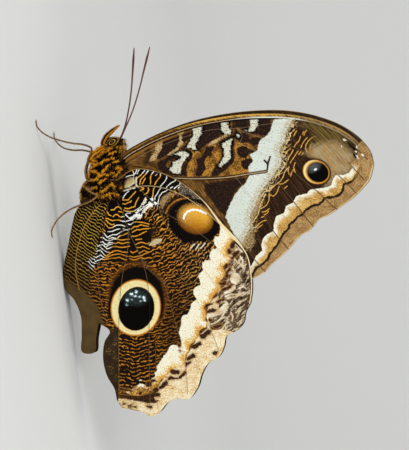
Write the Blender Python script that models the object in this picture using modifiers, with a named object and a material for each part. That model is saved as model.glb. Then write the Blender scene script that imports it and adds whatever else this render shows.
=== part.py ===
"""Owl butterfly standing with its wings closed over its back.

Lengths below are in millimetres and become metres as each mesh is made.
The floor is z = 0, the head points to -X and the insect's left side faces -Y.
A wing is drawn in its own plane as (out, back), measured from the forewing's root:
out runs away from the floor and back runs towards the tail.
"""
import math

import bmesh
import bpy
import numpy as np
from mathutils import Matrix, Vector
from mathutils.geometry import delaunay_2d_cdt

MM = 0.001
GAP = 0.3
LEFT, RIGHT = -1, 1
SIDES = {"left": LEFT, "right": RIGHT}

# Place of the forewing's root, and the lean of the wing plane's axes from the floor's
ROOT_X = -20.7
ROOT_Z = 25.4
LEAN = math.radians(7.6)

# The body's axis rises to the head; along runs to the tail, lift to the back
BODY_PITCH = math.radians(23.0)
THORAX_X = ROOT_X + 1.5
THORAX_Z = 17.1
# Ellipsoids of the coat's outer form: their centre (along, lift, across) and half length, width, depth
THORAX = ((-0.3, 0.6, 0.0), (8.8, 5.0, 5.9))
CHEST = ((-6.8, -1.6, 0.0), (3.0, 3.2, 3.4))
HIP = ((6.5, -2.2, 0.0), (6.0, 3.4, 4.0))
NECK = ((-8.9, 1.4, 0.0), (2.2, 2.4, 3.1))
HEAD = ((-10.8, 0.75, 0.0), (2.7, 2.8, 3.3))
ABDOMEN_START = 5.6
ABDOMEN_END = 30.0
ABDOMEN_RADIUS = 3.0
EYE_ALONG = -11.4
EYE_LIFT = 0.15
EYE_OUT = 1.9
EYE_HALF_LENGTH = 2.1
EYE_HALF_HEIGHT = 1.65
EYE_HALF_WIDTH = 1.5
EYE_TILT = math.radians(40.0)

# The four wings lie in layers, each a membrane whose veins are raised in both faces
MEMBRANE = 0.5
VEIN_CREST = 0.95
VEIN_HALF_WIDTH = 0.55
FORE_LAYER = 0.65
HIND_LAYER = 1.9
BODY_BULGE = 2.3
BULGE_ABOVE = 11.9
BULGE_BELOW = 4.6
GUTTER_CURL = 1.1
EDGE_FLARE = 1.3

ANTENNA_RADIUS = 0.27
ANTENNA_CLUB = 0.45
FLOOR_DIP = 0.12


def clear_scene():
    for thing in list(bpy.data.objects):
        bpy.data.objects.remove(thing, do_unlink=True)


def collection(name):
    group = bpy.data.collections.new(name)
    bpy.context.scene.collection.children.link(group)
    return group


def finish(name, red, green, blue, roughness, metallic=0.0):
    """A plain Principled material of one colour."""
    material = bpy.data.materials.new(name)
    material.use_nodes = True
    shader = material.node_tree.nodes["Principled BSDF"]
    shader.inputs["Base Color"].default_value = (red, green, blue, 1.0)
    shader.inputs["Roughness"].default_value = roughness
    shader.inputs["Metallic"].default_value = metallic
    return material


clear_scene()
PARTS = collection("owl_butterfly")
CUTTERS = collection("cutters")
FUR = finish("body_fur", 0.22, 0.11, 0.035, 0.9)
SCALES = finish("wing_scales", 0.20, 0.12, 0.06, 0.75)
EYE = finish("eye", 0.10, 0.05, 0.02, 0.25)
HORN = finish("legs_and_feelers", 0.12, 0.06, 0.03, 0.6)


def place(name, form, group, material=None):
    """A named object whose mesh is the given bmesh, in metres."""
    bmesh.ops.scale(form, verts=form.verts, vec=(MM, MM, MM))
    mesh = bpy.data.meshes.new(name)
    form.to_mesh(mesh)
    form.free()
    thing = bpy.data.objects.new(name, mesh)
    group.objects.link(thing)
    if material:
        mesh.materials.append(material)
    if group is CUTTERS:
        thing.hide_render = True
        thing.display_type = "WIRE"
    return thing


def body_point(along, lift, across=0.0):
    """World place of a point given along and above the body's axis."""
    x = THORAX_X + along * math.cos(BODY_PITCH) + lift * math.sin(BODY_PITCH)
    z = THORAX_Z - along * math.sin(BODY_PITCH) + lift * math.cos(BODY_PITCH)
    return Vector((x, across, z))


def body_lift(x, z):
    """Height of a world point over the body's axis."""
    return (x - THORAX_X) * math.sin(BODY_PITCH) + (z - THORAX_Z) * math.cos(BODY_PITCH)


def wing_to_world(out, back):
    x = ROOT_X + out * math.sin(LEAN) + back * math.cos(LEAN)
    z = ROOT_Z + out * math.cos(LEAN) - back * math.sin(LEAN)
    return x, z


def smooth_line(points, step):
    """Even points about a step apart on a smooth curve through the given ones."""
    knots = np.array(points, dtype=float)
    runs = np.linalg.norm(np.diff(knots, axis=0), axis=1)
    at = np.concatenate(([0.0], np.cumsum(runs)))
    slopes = np.gradient(knots, at, axis=0) if len(knots) > 2 else np.diff(knots, axis=0) / runs
    if len(knots) == 2:
        slopes = np.repeat(slopes, 2, axis=0)
    count = max(1, round(at[-1] / step))
    result = []
    for value in np.linspace(0.0, at[-1], count + 1):
        k = min(int(np.searchsorted(at, value, side="right")) - 1, len(runs) - 1)
        t = (value - at[k]) / runs[k]
        start = (1 + 2 * t) * (1 - t) ** 2 * knots[k] + t * (1 - t) ** 2 * runs[k] * slopes[k]
        end = t * t * (3 - 2 * t) * knots[k + 1] - t * t * (1 - t) * runs[k] * slopes[k + 1]
        result.append(start + end)
    return result


def largest_shell(form):
    """Keep the largest closed surface of a bmesh."""
    shells = []
    waiting = set(form.verts)
    while waiting:
        stack = [waiting.pop()]
        shell = list(stack)
        while stack:
            for edge in stack.pop().link_edges:
                for vertex in edge.verts:
                    if vertex in waiting:
                        waiting.remove(vertex)
                        stack.append(vertex)
                        shell.append(vertex)
        shells.append(shell)
    shells.sort(key=len, reverse=True)
    for shell in shells[1:]:
        bmesh.ops.delete(form, geom=shell, context="VERTS")


def apply_modifiers(thing):
    """Put an object's evaluated mesh in place of its mesh and modifiers."""
    graph = bpy.context.evaluated_depsgraph_get()
    graph.update()
    mesh = bpy.data.meshes.new_from_object(thing.evaluated_get(graph))
    thing.modifiers.clear()
    thing.data = mesh


def cut(thing, cutters):
    """Cut an object by closed cutters and keep its largest piece."""
    for cutter in cutters:
        step = thing.modifiers.new("cut", "BOOLEAN")
        step.operation = "DIFFERENCE"
        step.solver = "EXACT"
        step.object = cutter
    apply_modifiers(thing)
    form = bmesh.new()
    form.from_mesh(thing.data)
    bmesh.ops.remove_doubles(form, verts=form.verts, dist=0.005 * MM)
    largest_shell(form)
    bmesh.ops.triangulate(form, faces=form.faces)
    form.to_mesh(thing.data)
    form.free()


def ellipsoid(name, group, material, centre, halves, grow=0.0, rings=12, segments=20, tilt=0.0):
    """An ellipsoid along the body's axis, its front tilted up from that axis."""
    form = bmesh.new()
    bmesh.ops.create_uvsphere(form, u_segments=segments, v_segments=rings, radius=1.0)
    along, lift, across = centre
    length, width, depth = (half + grow for half in halves)
    for vertex in form.verts:
        x, y, z = vertex.co.z * length, vertex.co.y * width, vertex.co.x * depth
        ahead = x * math.cos(tilt) + z * math.sin(tilt)
        above = z * math.cos(tilt) - x * math.sin(tilt)
        vertex.co = body_point(along + ahead, lift + above, across + y)
    bmesh.ops.recalc_face_normals(form, faces=form.faces)
    thing = place(name, form, group, material)
    thing.data.shade_smooth()
    return thing


def joined(name, group, forms, grow):
    """One closed solid of several ellipsoids of the body."""
    others = collection(name + "_others")
    first, *rest = forms
    thing = ellipsoid(name, group, FUR, *first, grow, rings=14, segments=24)
    for k, form in enumerate(rest):
        ellipsoid(name + "_" + str(k), others, FUR, *form, grow)
    step = thing.modifiers.new("join", "BOOLEAN")
    step.operation = "UNION"
    step.operand_type = "COLLECTION"
    step.collection = others
    step.solver = "EXACT"
    apply_modifiers(thing)
    for other in list(others.objects):
        bpy.data.objects.remove(other, do_unlink=True)
    bpy.data.collections.remove(others)
    return thing


def thorax(name="thorax", group=PARTS, grow=0.0):
    return joined(name, group, [THORAX, CHEST, HIP], grow)


def head(name="head", group=PARTS, grow=0.0):
    return joined(name, group, [HEAD, NECK], grow)


def abdomen():
    """A long spindle of the abdomen's rings, tucked between the hindwings."""
    form = bmesh.new()
    bmesh.ops.create_uvsphere(form, u_segments=16, v_segments=18, radius=1.0)
    half = (ABDOMEN_END - ABDOMEN_START) / 2
    for vertex in form.verts:
        x, y, z = vertex.co.z, vertex.co.y, vertex.co.x
        reach = (x + 1.0) / 2.0
        taper = 1.0 - 0.22 * reach
        along = ABDOMEN_START + half + x * half
        vertex.co = body_point(along, z * ABDOMEN_RADIUS * taper, y * ABDOMEN_RADIUS * taper)
    bmesh.ops.recalc_face_normals(form, faces=form.faces)
    thing = place("abdomen", form, PARTS, FUR)
    thing.data.shade_smooth()
    return thing


def eye(side_name):
    centre = (EYE_ALONG, EYE_LIFT, SIDES[side_name] * EYE_OUT)
    halves = (EYE_HALF_LENGTH, EYE_HALF_WIDTH, EYE_HALF_HEIGHT)
    return ellipsoid("eye_" + side_name, PARTS, EYE, centre, halves, rings=12, segments=16, tilt=EYE_TILT)


def tube(name, path, radii, material=HORN):
    """A round limb through a path, its radius running through the given values."""
    curve = bpy.data.curves.new(name, "CURVE")
    curve.dimensions = "3D"
    curve.bevel_depth = 1.0 * MM
    curve.bevel_resolution = 2
    curve.use_fill_caps = True
    spline = curve.splines.new("POLY")
    spline.points.add(len(path) - 1)
    places = np.linspace(0.0, len(radii) - 1, len(path))
    for point, where, value in zip(spline.points, path, places):
        point.co = (where[0] * MM, where[1] * MM, where[2] * MM, 1.0)
        point.radius = float(np.interp(value, range(len(radii)), radii))
    limb = bpy.data.objects.new(name, curve)
    PARTS.objects.link(limb)
    graph = bpy.context.evaluated_depsgraph_get()
    graph.update()
    mesh = bpy.data.meshes.new_from_object(limb.evaluated_get(graph))
    bpy.data.objects.remove(limb, do_unlink=True)
    form = bmesh.new()
    form.from_mesh(mesh)
    bmesh.ops.remove_doubles(form, verts=form.verts, dist=0.002 * MM)
    for vertex in form.verts:
        vertex.co.z = max(vertex.co.z, 0.0)
    bmesh.ops.recalc_face_normals(form, faces=form.faces)
    bmesh.ops.scale(form, verts=form.verts, vec=(1 / MM, 1 / MM, 1 / MM))
    thing = place(name, form, PARTS, material)
    thing.data.shade_smooth()
    return thing


def from_root(points):
    """World places of points given from the wing root along the floor."""
    return [(ROOT_X + x, y, z) for x, y, z in points]


FOOT = 0.22
LEG_PATHS = {
    "foreleg_left": [
        (-2.6, -2.2, 16.6), (-4.4, -3.9, 13.9), (-5.5, -4.0, 14.5), (-6.7, -3.5, 16.5), (-7.5, -3.0, 18.2)],
    "foreleg_right": [
        (-2.6, 2.2, 16.6), (-4.4, 3.9, 13.9), (-5.5, 4.0, 14.5), (-6.7, 3.5, 16.5), (-7.5, 3.0, 18.2)],
    "midleg_left": [
        (1.2, -2.0, 15.1), (2.1, -3.8, 12.4), (-0.5, -4.9, 12.2), (-4.2, -6.4, 13.8),
        (-7.9, -8.0, 15.4), (-8.9, -8.7, 13.8), (-10.0, -10.4, 10.0), (-11.4, -12.0, 6.4),
        (-13.0, -13.1, 3.4), (-15.0, -13.9, 1.2), (-16.8, -14.3, FOOT), (-18.4, -14.5, FOOT)],
    "midleg_right": [
        (1.2, 2.0, 14.5), (2.0, 3.8, 11.2), (-0.6, 4.9, 10.8), (-4.0, 6.4, 11.6),
        (-7.0, 8.0, 12.4), (-7.9, 9.0, 10.4), (-8.6, 10.6, 6.3), (-9.9, 12.2, 3.0),
        (-11.6, 13.2, 1.2), (-13.4, 14.0, FOOT), (-15.0, 14.4, FOOT)],
    "hindleg_left": [
        (5.4, -2.0, 14.5), (4.6, -4.3, 11.4), (6.2, -5.6, 13.0), (7.6, -7.0, 15.0),
        (8.8, -7.9, 13.2), (9.8, -9.0, 9.8), (10.8, -10.2, 6.6), (12.8, -11.6, 3.2),
        (15.0, -12.6, 1.2), (17.0, -13.1, FOOT), (18.6, -13.4, FOOT)],
    "hindleg_right": [
        (5.4, 2.0, 14.5), (4.8, 4.3, 11.2), (7.4, 6.0, 12.4), (11.0, 8.2, 13.6),
        (13.0, 9.2, 12.4), (17.0, 10.6, 8.6), (21.6, 11.8, 4.8), (25.0, 12.6, 2.2),
        (28.0, 13.2, 0.8), (30.4, 13.6, FOOT), (32.0, 13.8, FOOT)],
}
LEG_RADII = [0.54, 0.48, 0.42, 0.36, 0.31, 0.29, 0.27, 0.26]
BRUSH_RADII = [0.5, 0.55, 0.45, 0.3]

ANTENNA_PATHS = {
    "antenna_left": [
        (-8.6, -0.9, 22.9), (-10.2, -1.3, 24.4), (-12.9, -2.2, 26.1), (-17.8, -4.0, 28.3),
        (-24.0, -6.0, 30.4), (-30.3, -8.3, 32.1), (-37.2, -10.5, 33.8)],
    "antenna_right": [
        (-8.6, 0.9, 22.9), (-10.2, 1.3, 24.1), (-13.1, 2.2, 25.8), (-17.6, 4.0, 28.2),
        (-24.3, 6.5, 31.0), (-31.1, 9.0, 33.3), (-38.4, 11.5, 35.8)],
}
ANTENNA_RADII = [ANTENNA_RADIUS] * 7 + [ANTENNA_CLUB * 0.8, ANTENNA_CLUB, 0.2]
PALP_PATH = [(-7.6, 1.1, 20.2), (-8.7, 1.5, 18.4), (-10.8, 1.7, 19.4), (-12.5, 1.5, 21.5), (-13.9, 1.2, 23.9)]
PALP_RADII = [0.5, 0.65, 0.72, 0.6, 0.25]

COIL_X, COIL_Z = -9.9, 19.75
COIL_OUTER, COIL_INNER, COIL_TURNS = 1.05, 0.75, 0.8
COIL_RADIUS = 0.27


def coil_slot():
    """The groove in the head's front that the rolled proboscis lies in."""
    form = bmesh.new()
    half = COIL_RADIUS + GAP
    reach = COIL_OUTER + half
    bmesh.ops.create_cone(form, cap_ends=True, segments=20, radius1=reach, radius2=reach, depth=2 * half)
    bmesh.ops.rotate(form, verts=form.verts, matrix=Matrix.Rotation(math.pi / 2, 3, "X"))
    bmesh.ops.translate(form, verts=form.verts, vec=(ROOT_X + COIL_X, 0.0, COIL_Z))
    return place("coil_slot", form, CUTTERS)


def proboscis():
    """The sucking tube, rolled in a flat coil between the palps."""
    path = []
    steps = 14
    for k in range(steps + 1):
        turn = k / steps
        radius = COIL_OUTER + (COIL_INNER - COIL_OUTER) * turn
        angle = -2 * math.pi * COIL_TURNS * turn
        path.append((COIL_X + radius * math.cos(angle), 0.0, COIL_Z + radius * math.sin(angle)))
    return tube("proboscis", from_root(path), [COIL_RADIUS, COIL_RADIUS, 0.22])


FORE_LEADING_EDGE = [
    (-4.5, -1.6), (-1.3, -4.9), (3.4, -7.8), (6.6, -9.5), (10.2, -11.2), (19.8, -14.8), (29.4, -17.0), (40.6, -18.3),
    (51.8, -18.2), (61.4, -16.3), (69.4, -13.0), (74.9, -8.8), (77.8, -4.8), (78.7, -1.0)]
FORE_OUTER_EDGE = [
    (78.7, -1.0), (77.4, 3.8), (74.6, 7.2), (71.0, 10.5), (68.2, 12.4), (66.2, 13.9), (63.7, 15.4), (61.4, 16.3),
    (59.8, 18.3), (58.1, 20.1), (56.0, 21.2), (54.4, 22.6), (52.8, 24.6), (50.9, 26.6), (48.6, 28.8),
    (46.0, 31.0), (44.5, 32.8), (42.6, 34.1), (40.0, 35.5)]
FORE_INNER_EDGE = [(40.0, 35.5), (37.8, 34.6), (27.8, 26.2), (13.4, 14.4), (2.2, 6.4), (-3.8, 3.8)]
FORE_VEINS = {
    "costa": [(-2.6, -2.6), (3.8, -6.3), (10.2, -10.1), (19.8, -13.9), (29.4, -16.1), (40.6, -17.4),
              (51.8, -17.3), (61.4, -15.4), (69.4, -12.0), (74.2, -8.0)],
    "radius": [(-0.3, -1.0), (7.0, -5.4), (16.6, -9.4), (26.9, -12.2), (34.9, -12.6), (47.0, -14.1),
               (56.6, -13.8), (64.6, -11.6), (71.0, -8.0), (76.8, -2.6)],
    "radius_branch": [(51.8, -14.1), (59.2, -12.0), (64.6, -7.0), (71.0, -1.3), (75.8, 4.0)],
    "media_1": [(34.9, -12.5), (43.2, -9.6), (50.2, -7.7), (56.6, -5.1), (61.4, -2.2), (66.2, 1.3),
                (71.6, 6.4)],
    "media_2": [(35.8, -7.7), (40.6, -5.8), (47.0, -2.6), (52.5, 0.6), (56.6, 4.2), (61.4, 8.0),
                (65.6, 12.0)],
    "media_3": [(44.5, 1.1), (48.6, 5.1), (52.8, 10.2), (58.6, 17.6)],
    "cubitus": [(-1.9, 1.3), (7.0, 2.6), (15.0, 3.2), (23.0, 3.4), (32.6, 2.9), (39.0, 1.9), (44.5, 1.1)],
    "cell_end": [(44.5, 1.1), (45.8, -2.6), (40.6, -5.8)],
    "cell_top": [(35.8, -7.7), (36.8, -10.2), (34.9, -12.5)],
    "cubitus_1": [(34.6, 2.9), (39.0, 8.3), (42.9, 13.8), (47.0, 20.5), (50.6, 24.8)],
    "cubitus_2": [(19.8, 3.4), (25.3, 10.2), (30.4, 16.3), (35.8, 23.0), (42.6, 31.4)],
    "anal": [(-2.6, 3.0), (7.0, 8.6), (19.8, 18.4), (31.0, 27.4), (37.6, 32.6)],
}

HIND_LEADING_EDGE = [
    (-6.8, 3.6), (-2.6, 3.4), (0.0, 1.3), (2.9, 0.2), (7.0, 0.5), (11.2, 1.6), (15.4, 3.4), (19.8, 6.4),
    (24.6, 10.6), (30.1, 17.3), (36.2, 24.0), (38.7, 28.2), (39.7, 33.3), (40.0, 39.0), (39.4, 43.2)]
HIND_OUTER_EDGE = [
    (39.4, 43.2), (37.8, 46.4), (37.4, 49.0), (35.2, 51.8), (31.7, 53.8), (31.0, 57.0), (29.4, 60.2),
    (25.9, 62.4), (24.0, 65.6), (22.4, 70.4), (19.5, 73.9), (15.4, 73.8), (12.8, 75.2), (10.2, 78.2),
    (7.7, 79.5), (5.1, 78.2), (1.6, 77.4), (-1.9, 76.5), (-3.5, 74.2)]
HIND_LOBE_EDGE = [(-3.5, 74.2), (-4.2, 71.0), (-6.7, 66.6), (-8.0, 59.8), (-7.4, 55.4), (-5.8, 52.5), (-9.3, 49.6)]
HIND_FOLD_EDGE = [
    (-9.3, 49.6), (-10.2, 54.4), (-10.9, 59.2), (-14.4, 59.2), (-14.7, 53.4), (-15.0, 47.4), (-17.3, 41.9),
    (-20.1, 38.7), (-20.75, 36.9), (-21.05, 34.6), (-20.7, 31.0), (-19.5, 25.6), (-18.6, 20.5), (-17.3, 14.7)]
HIND_BODY_EDGE = [(-17.3, 14.7), (-15.7, 12.2), (-12.2, 10.9), (-8.3, 9.9), (-8.6, 6.6), (-6.8, 3.6)]
HIND_VEINS = {
    "costa": [(-5.4, 6.4), (0.0, 6.3), (3.8, 5.8), (8.6, 5.8), (13.4, 6.9), (18.2, 9.0), (23.0, 12.2),
              (28.9, 17.2)],
    "radius": [(3.2, 5.9), (7.0, 9.6), (10.2, 13.1), (15.0, 16.0), (19.8, 18.6), (25.6, 22.7), (31.0, 27.5),
               (35.8, 33.6), (39.0, 39.6)],
    "media_1": [(10.2, 13.1), (11.8, 17.3), (14.7, 21.1), (18.2, 24.6), (22.1, 29.1), (25.9, 33.9),
                (30.1, 39.4), (33.0, 43.8), (36.0, 49.6)],
    "media_2": [(11.8, 36.6), (15.7, 33.9), (19.8, 38.4), (24.0, 45.1), (26.6, 51.2), (29.4, 58.2)],
    "media_3": [(11.8, 36.6), (14.1, 44.8), (16.0, 51.8), (17.9, 58.2), (18.9, 64.6), (19.4, 72.2)],
    "stem": [(-5.4, 6.4), (-1.6, 14.1), (0.6, 20.5), (3.2, 26.2), (7.0, 32.6), (11.8, 36.6)],
    "cubitus_1": [(3.2, 26.2), (5.8, 33.3), (6.9, 42.2), (6.9, 53.4), (7.0, 64.6), (7.4, 77.8)],
    "cubitus_2": [(0.3, 19.2), (0.0, 26.2), (-1.6, 34.2), (-2.6, 43.8), (-2.9, 56.6), (-2.7, 73.6)],
    "anal_2": [(-5.6, 9.3), (-6.7, 15.0), (-7.7, 21.4), (-9.0, 30.1), (-9.3, 37.4), (-8.3, 43.8), (-6.6, 50.2)],
    "anal_3": [(-7.2, 10.4), (-10.2, 13.4), (-13.4, 18.2), (-15.7, 24.6), (-16.6, 32.0), (-15.4, 39.0)],
}


def fore_layer(out, back):
    """Distance of the forewing's middle surface from the insect's middle plane."""
    x, z = wing_to_world(out, back)
    lift = max(body_lift(x, z), 0.0)
    flare = EDGE_FLARE * max(0.0, (out - 44.0) / 35.0) ** 2
    return FORE_LAYER + BODY_BULGE * math.exp(-(lift / BULGE_ABOVE) ** 2) + flare


def hind_layer(out, back):
    """The same for the hindwing, which bulges round the abdomen and curls in below it."""
    x, z = wing_to_world(out, back)
    lift = body_lift(x, z)
    reach = BULGE_ABOVE if lift > 0 else BULGE_BELOW
    curl = min(max((-lift - 3.5) / 4.0, 0.0), 1.0)
    flare = EDGE_FLARE * max(0.0, (back - 45.0) / 34.0) ** 2
    bulge = BODY_BULGE * math.exp(-(lift / reach) ** 2)
    return HIND_LAYER + bulge - GUTTER_CURL * curl * curl * (3 - 2 * curl) + flare


def inside(point, outline):
    """True where a point lies within a closed outline."""
    x, y = point
    found = False
    for (ax, ay), (bx, by) in zip(outline, outline[1:] + outline[:1]):
        if (ay > y) != (by > y) and x < (bx - ax) * (y - ay) / (by - ay) + ax:
            found = not found
    return found


def distance_to_line(point, line):
    """Shortest distance from a point to a chain of short straight runs."""
    starts, ends = line[:-1], line[1:]
    runs = ends - starts
    shares = np.clip(((point - starts) * runs).sum(1) / (runs ** 2).sum(1), 0.0, 1.0)
    return float(np.linalg.norm(starts + runs * shares[:, None] - point, axis=1).min())


def side_line(line, offset):
    """A line beside the given one."""
    headings = np.gradient(line, axis=0)
    headings /= np.linalg.norm(headings, axis=1)[:, None]
    return line + offset * np.stack([-headings[:, 1], headings[:, 0]], axis=1)


def wing(name, side, edges, veins, layer, near_step, root_reach):
    """A membrane with raised veins, split alike on both of its faces."""
    edge_step, vein_step, field_step = 2.6, 4.5, 6.0
    outline = []
    for edge in edges:
        outline += [tuple(p) for p in smooth_line(edge, edge_step)[:-1]]
    points = list(outline)
    links = [(k, (k + 1) % len(outline)) for k in range(len(outline))]
    lines = [np.array(smooth_line(vein, vein_step)) for vein in veins.values()]
    for line in lines:
        for offset in (0.0, -VEIN_HALF_WIDTH, VEIN_HALF_WIDTH):
            beside = [tuple(p) for p in side_line(line, offset)]
            beside = [p for p in beside if inside(p, outline)]
            first = len(points)
            points += beside
            links += [(first + k, first + k + 1) for k in range(len(beside) - 1)]
    taken = np.array(points)
    low, high = taken.min(0), taken.max(0)
    for step, reach in ((near_step, root_reach), (field_step, 200.0)):
        for row, back in enumerate(np.arange(low[1], high[1], step * 0.87)):
            for out in np.arange(low[0] + (row % 2) * step / 2, high[0], step):
                spot = np.array((out, back))
                close = np.linalg.norm(taken - spot, axis=1).min() < step * 0.62
                if math.hypot(out, back) < reach and not close and inside((out, back), outline):
                    points.append((out, back))
                    taken = np.vstack([taken, spot])
    flat = [Vector(p) for p in points]
    verts, _, faces, _, _, _ = delaunay_2d_cdt(flat, links, [list(range(len(outline)))], 1, 1e-4)
    form = bmesh.new()
    made = []
    for vert in verts:
        x, z = wing_to_world(vert.x, vert.y)
        made.append(form.verts.new((x, side * layer(vert.x, vert.y), max(z, 0.0))))
    for face in faces:
        middle = sum((verts[k] for k in face), Vector((0.0, 0.0))) / 3
        if inside(tuple(middle), outline):
            form.faces.new([made[k] for k in face])
    crest = [0.0] * len(verts)
    for k, vert in enumerate(verts):
        spot = np.array((vert.x, vert.y))
        nearest = min(distance_to_line(spot, line) for line in lines)
        fade = 1.0 - 0.45 * min(1.0, math.hypot(vert.x, vert.y) / 80.0)
        crest[k] = max(0.0, 1.0 - nearest / VEIN_HALF_WIDTH) * fade
    loose = [v for v in form.verts if not v.link_faces]
    kept = [weight for v, weight in zip(made, crest) if v.link_faces]
    bmesh.ops.delete(form, geom=loose, context="VERTS")
    bmesh.ops.recalc_face_normals(form, faces=form.faces)
    thing = place(name, form, PARTS, SCALES)
    group = thing.vertex_groups.new(name="veins")
    for k, weight in enumerate(kept):
        group.add([k], weight, "REPLACE")
    solid = thing.modifiers.new("membrane", "SOLIDIFY")
    solid.thickness = VEIN_CREST * MM
    solid.offset = 0.0
    solid.vertex_group = "veins"
    solid.thickness_vertex_group = MEMBRANE / VEIN_CREST
    apply_modifiers(thing)
    settle(thing)
    return thing


def settle(thing):
    """Press the lowest points of a piece flat on the floor."""
    for vertex in thing.data.vertices:
        if vertex.co.z < FLOOR_DIP * MM:
            vertex.co.z = 0.0


thorax_cutter = thorax("thorax_cutter", CUTTERS, GAP)
head_cutter = head("head_cutter", CUTTERS, GAP)
cut(thorax(), [])
cut(head(), [thorax_cutter, coil_slot()])
cut(abdomen(), [thorax_cutter])
for side_name in SIDES:
    cut(eye(side_name), [head_cutter])
for name, path in LEG_PATHS.items():
    brush = name.startswith("foreleg")
    radii = BRUSH_RADII if brush else LEG_RADII
    cut(tube(name, smooth_line(from_root(path), 1.6), radii), [thorax_cutter, head_cutter])
for name, path in ANTENNA_PATHS.items():
    cut(tube(name, smooth_line(from_root(path), 1.8), ANTENNA_RADII), [head_cutter])
for side_name, side in SIDES.items():
    palp = [(x, y * side, z) for x, y, z in PALP_PATH]
    cut(tube("palp_" + side_name, smooth_line(from_root(palp), 1.0), PALP_RADII, FUR), [thorax_cutter, head_cutter])
    forewing = wing("forewing_" + side_name, side, [FORE_LEADING_EDGE, FORE_OUTER_EDGE, FORE_INNER_EDGE],
                    FORE_VEINS, fore_layer, 2.6, 16.0)
    cut(forewing, [thorax_cutter])
    hindwing = wing("hindwing_" + side_name, side,
                    [HIND_LEADING_EDGE, HIND_OUTER_EDGE, HIND_LOBE_EDGE, HIND_FOLD_EDGE, HIND_BODY_EDGE],
                    HIND_VEINS, hind_layer, 2.6, 24.0)
    cut(hindwing, [thorax_cutter])
proboscis()
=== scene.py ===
import math

import bmesh
import bpy
import numpy as np
from mathutils import Matrix, Vector


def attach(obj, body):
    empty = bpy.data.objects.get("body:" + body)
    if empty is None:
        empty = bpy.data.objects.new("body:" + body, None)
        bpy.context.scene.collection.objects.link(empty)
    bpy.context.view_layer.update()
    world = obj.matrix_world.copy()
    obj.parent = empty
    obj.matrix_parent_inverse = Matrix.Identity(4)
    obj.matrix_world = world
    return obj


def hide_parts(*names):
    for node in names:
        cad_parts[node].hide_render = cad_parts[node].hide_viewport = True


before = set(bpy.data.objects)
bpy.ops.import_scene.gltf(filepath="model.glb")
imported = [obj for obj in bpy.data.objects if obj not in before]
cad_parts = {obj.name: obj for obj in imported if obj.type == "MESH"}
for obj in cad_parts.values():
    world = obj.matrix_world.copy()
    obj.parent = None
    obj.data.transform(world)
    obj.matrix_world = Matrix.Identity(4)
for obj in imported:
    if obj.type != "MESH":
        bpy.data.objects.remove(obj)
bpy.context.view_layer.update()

MM = 0.001
SIDES = {"left": -1, "right": 1}

# Body: a soft skin over the head, the thorax that holds the wing muscles, and the slim abdomen.
# It is black under a coat of hair-like scales that lie towards the tail, black with orange ridges
# joined in a net. The skin is blown forms fused into one, with tufts rooted all over it.
ROOT_X = -20.7
ROOT_Z = 25.4
BODY_PITCH = math.radians(23.0)
THORAX_X = ROOT_X + 1.5
THORAX_Z = 17.1
COAT = 0.55
THORAX = (-0.3, 0.6, 8.8, 5.9, 5.0)
CHEST = (-6.8, -1.6, 3.0, 3.4, 3.2)
HIP = (6.5, -2.2, 6.0, 4.0, 3.4)
NECK = (-8.9, 1.4, 2.2, 3.1, 2.4)
HEAD = (-10.8, 0.75, 2.7, 3.3, 2.8)
ABDOMEN = (17.8, 0.0, 12.2, 3.0, 3.0)
ABDOMEN_TAPER = 0.11
RING_LENGTH = 2.5
NET_CELLS = 62
NET_RIDGE = 0.3
BODY_TUFTS = 15000
TUFT_CORNERS = 7
TUFT_PATCH = 0.0015
SKIN_VOXEL = 0.3
RIDGE_HALF = 0.3


def dots(*tenths):
    """Points from pairs of numbers, given in tenths of a millimetre."""
    return [(one / 10, other / 10) for one, other in zip(tenths[::2], tenths[1::2])]


RIDGES = [
    dots(-62,-48, -69,-42, -78,-36, -86,-30, -94,-22), dots(-48,-39, -56,-32, -66,-25, -75,-17, -84,-3),
    dots(-72,2, -75,8, -83,12, -88,19, -90,28, -89,45), dots(-102,20, -107,27, -107,42),
    dots(-28,-56, -15,-54), dots(-28,-26, -35,-22, -37,-13, -51,-4, -55,7), dots(-62,13, -62,20),
    dots(-53,22, -58,36), dots(-2,-43, -14,-42, -27,-27), dots(-4,-41, -9,-32, -9,-17, -2,-5, 9,-15),
    dots(5,-42, 16,-42, 22,-63), dots(18,-41, 19,-29, 12,-10), dots(-3,0, -19,1, -39,12), dots(-8,5, -9,18),
    dots(-17,24, -20,31), dots(-2,49, -13,53, -28,62), dots(36,20, 21,31, 12,35, 22,46), dots(46,10, 32,26),
    dots(46,-60, 37,-56, 36,-46), dots(58,-2, 58,10), dots(22,63, 15,66), dots(43,37, 58,43),
    dots(62,-59, 80,-51, 100,-50), dots(-36,34, -40,49), dots(-136,3, -140,15), dots(-131,24, -137,37),
    dots(-89,-21, -90,-8, -93,5), dots(-134,22, -129,34), dots(-126,26, -120,46), dots(-117,30, -114,48),
    dots(-99,34, -97,49), dots(48,-54, 48,-26, 38,-8), dots(68,6, 54,24, 43,40, 42,64), dots(24,-4, 4,14),
    dots(-8,36, -36,49),
]


def place_body(points):
    """World places of rows given along the body's axis, across it, and up from it."""
    along, across, lift = points.T
    x = THORAX_X + along * math.cos(BODY_PITCH) + lift * math.sin(BODY_PITCH)
    z = THORAX_Z - along * math.sin(BODY_PITCH) + lift * math.cos(BODY_PITCH)
    return np.stack([x, across, z], axis=1)


def body_axes(points):
    """The way back from world places: along, across and up from the body's axis."""
    x, across, z = points.T
    ahead, above = x - THORAX_X, z - THORAX_Z
    along = ahead * math.cos(BODY_PITCH) - above * math.sin(BODY_PITCH)
    lift = ahead * math.sin(BODY_PITCH) + above * math.cos(BODY_PITCH)
    return along, across, lift


def points_of(mesh):
    """All of a mesh's points as rows of three numbers."""
    flat = np.zeros(len(mesh.vertices) * 3)
    mesh.vertices.foreach_get("co", flat)
    return flat.reshape(-1, 3)


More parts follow.
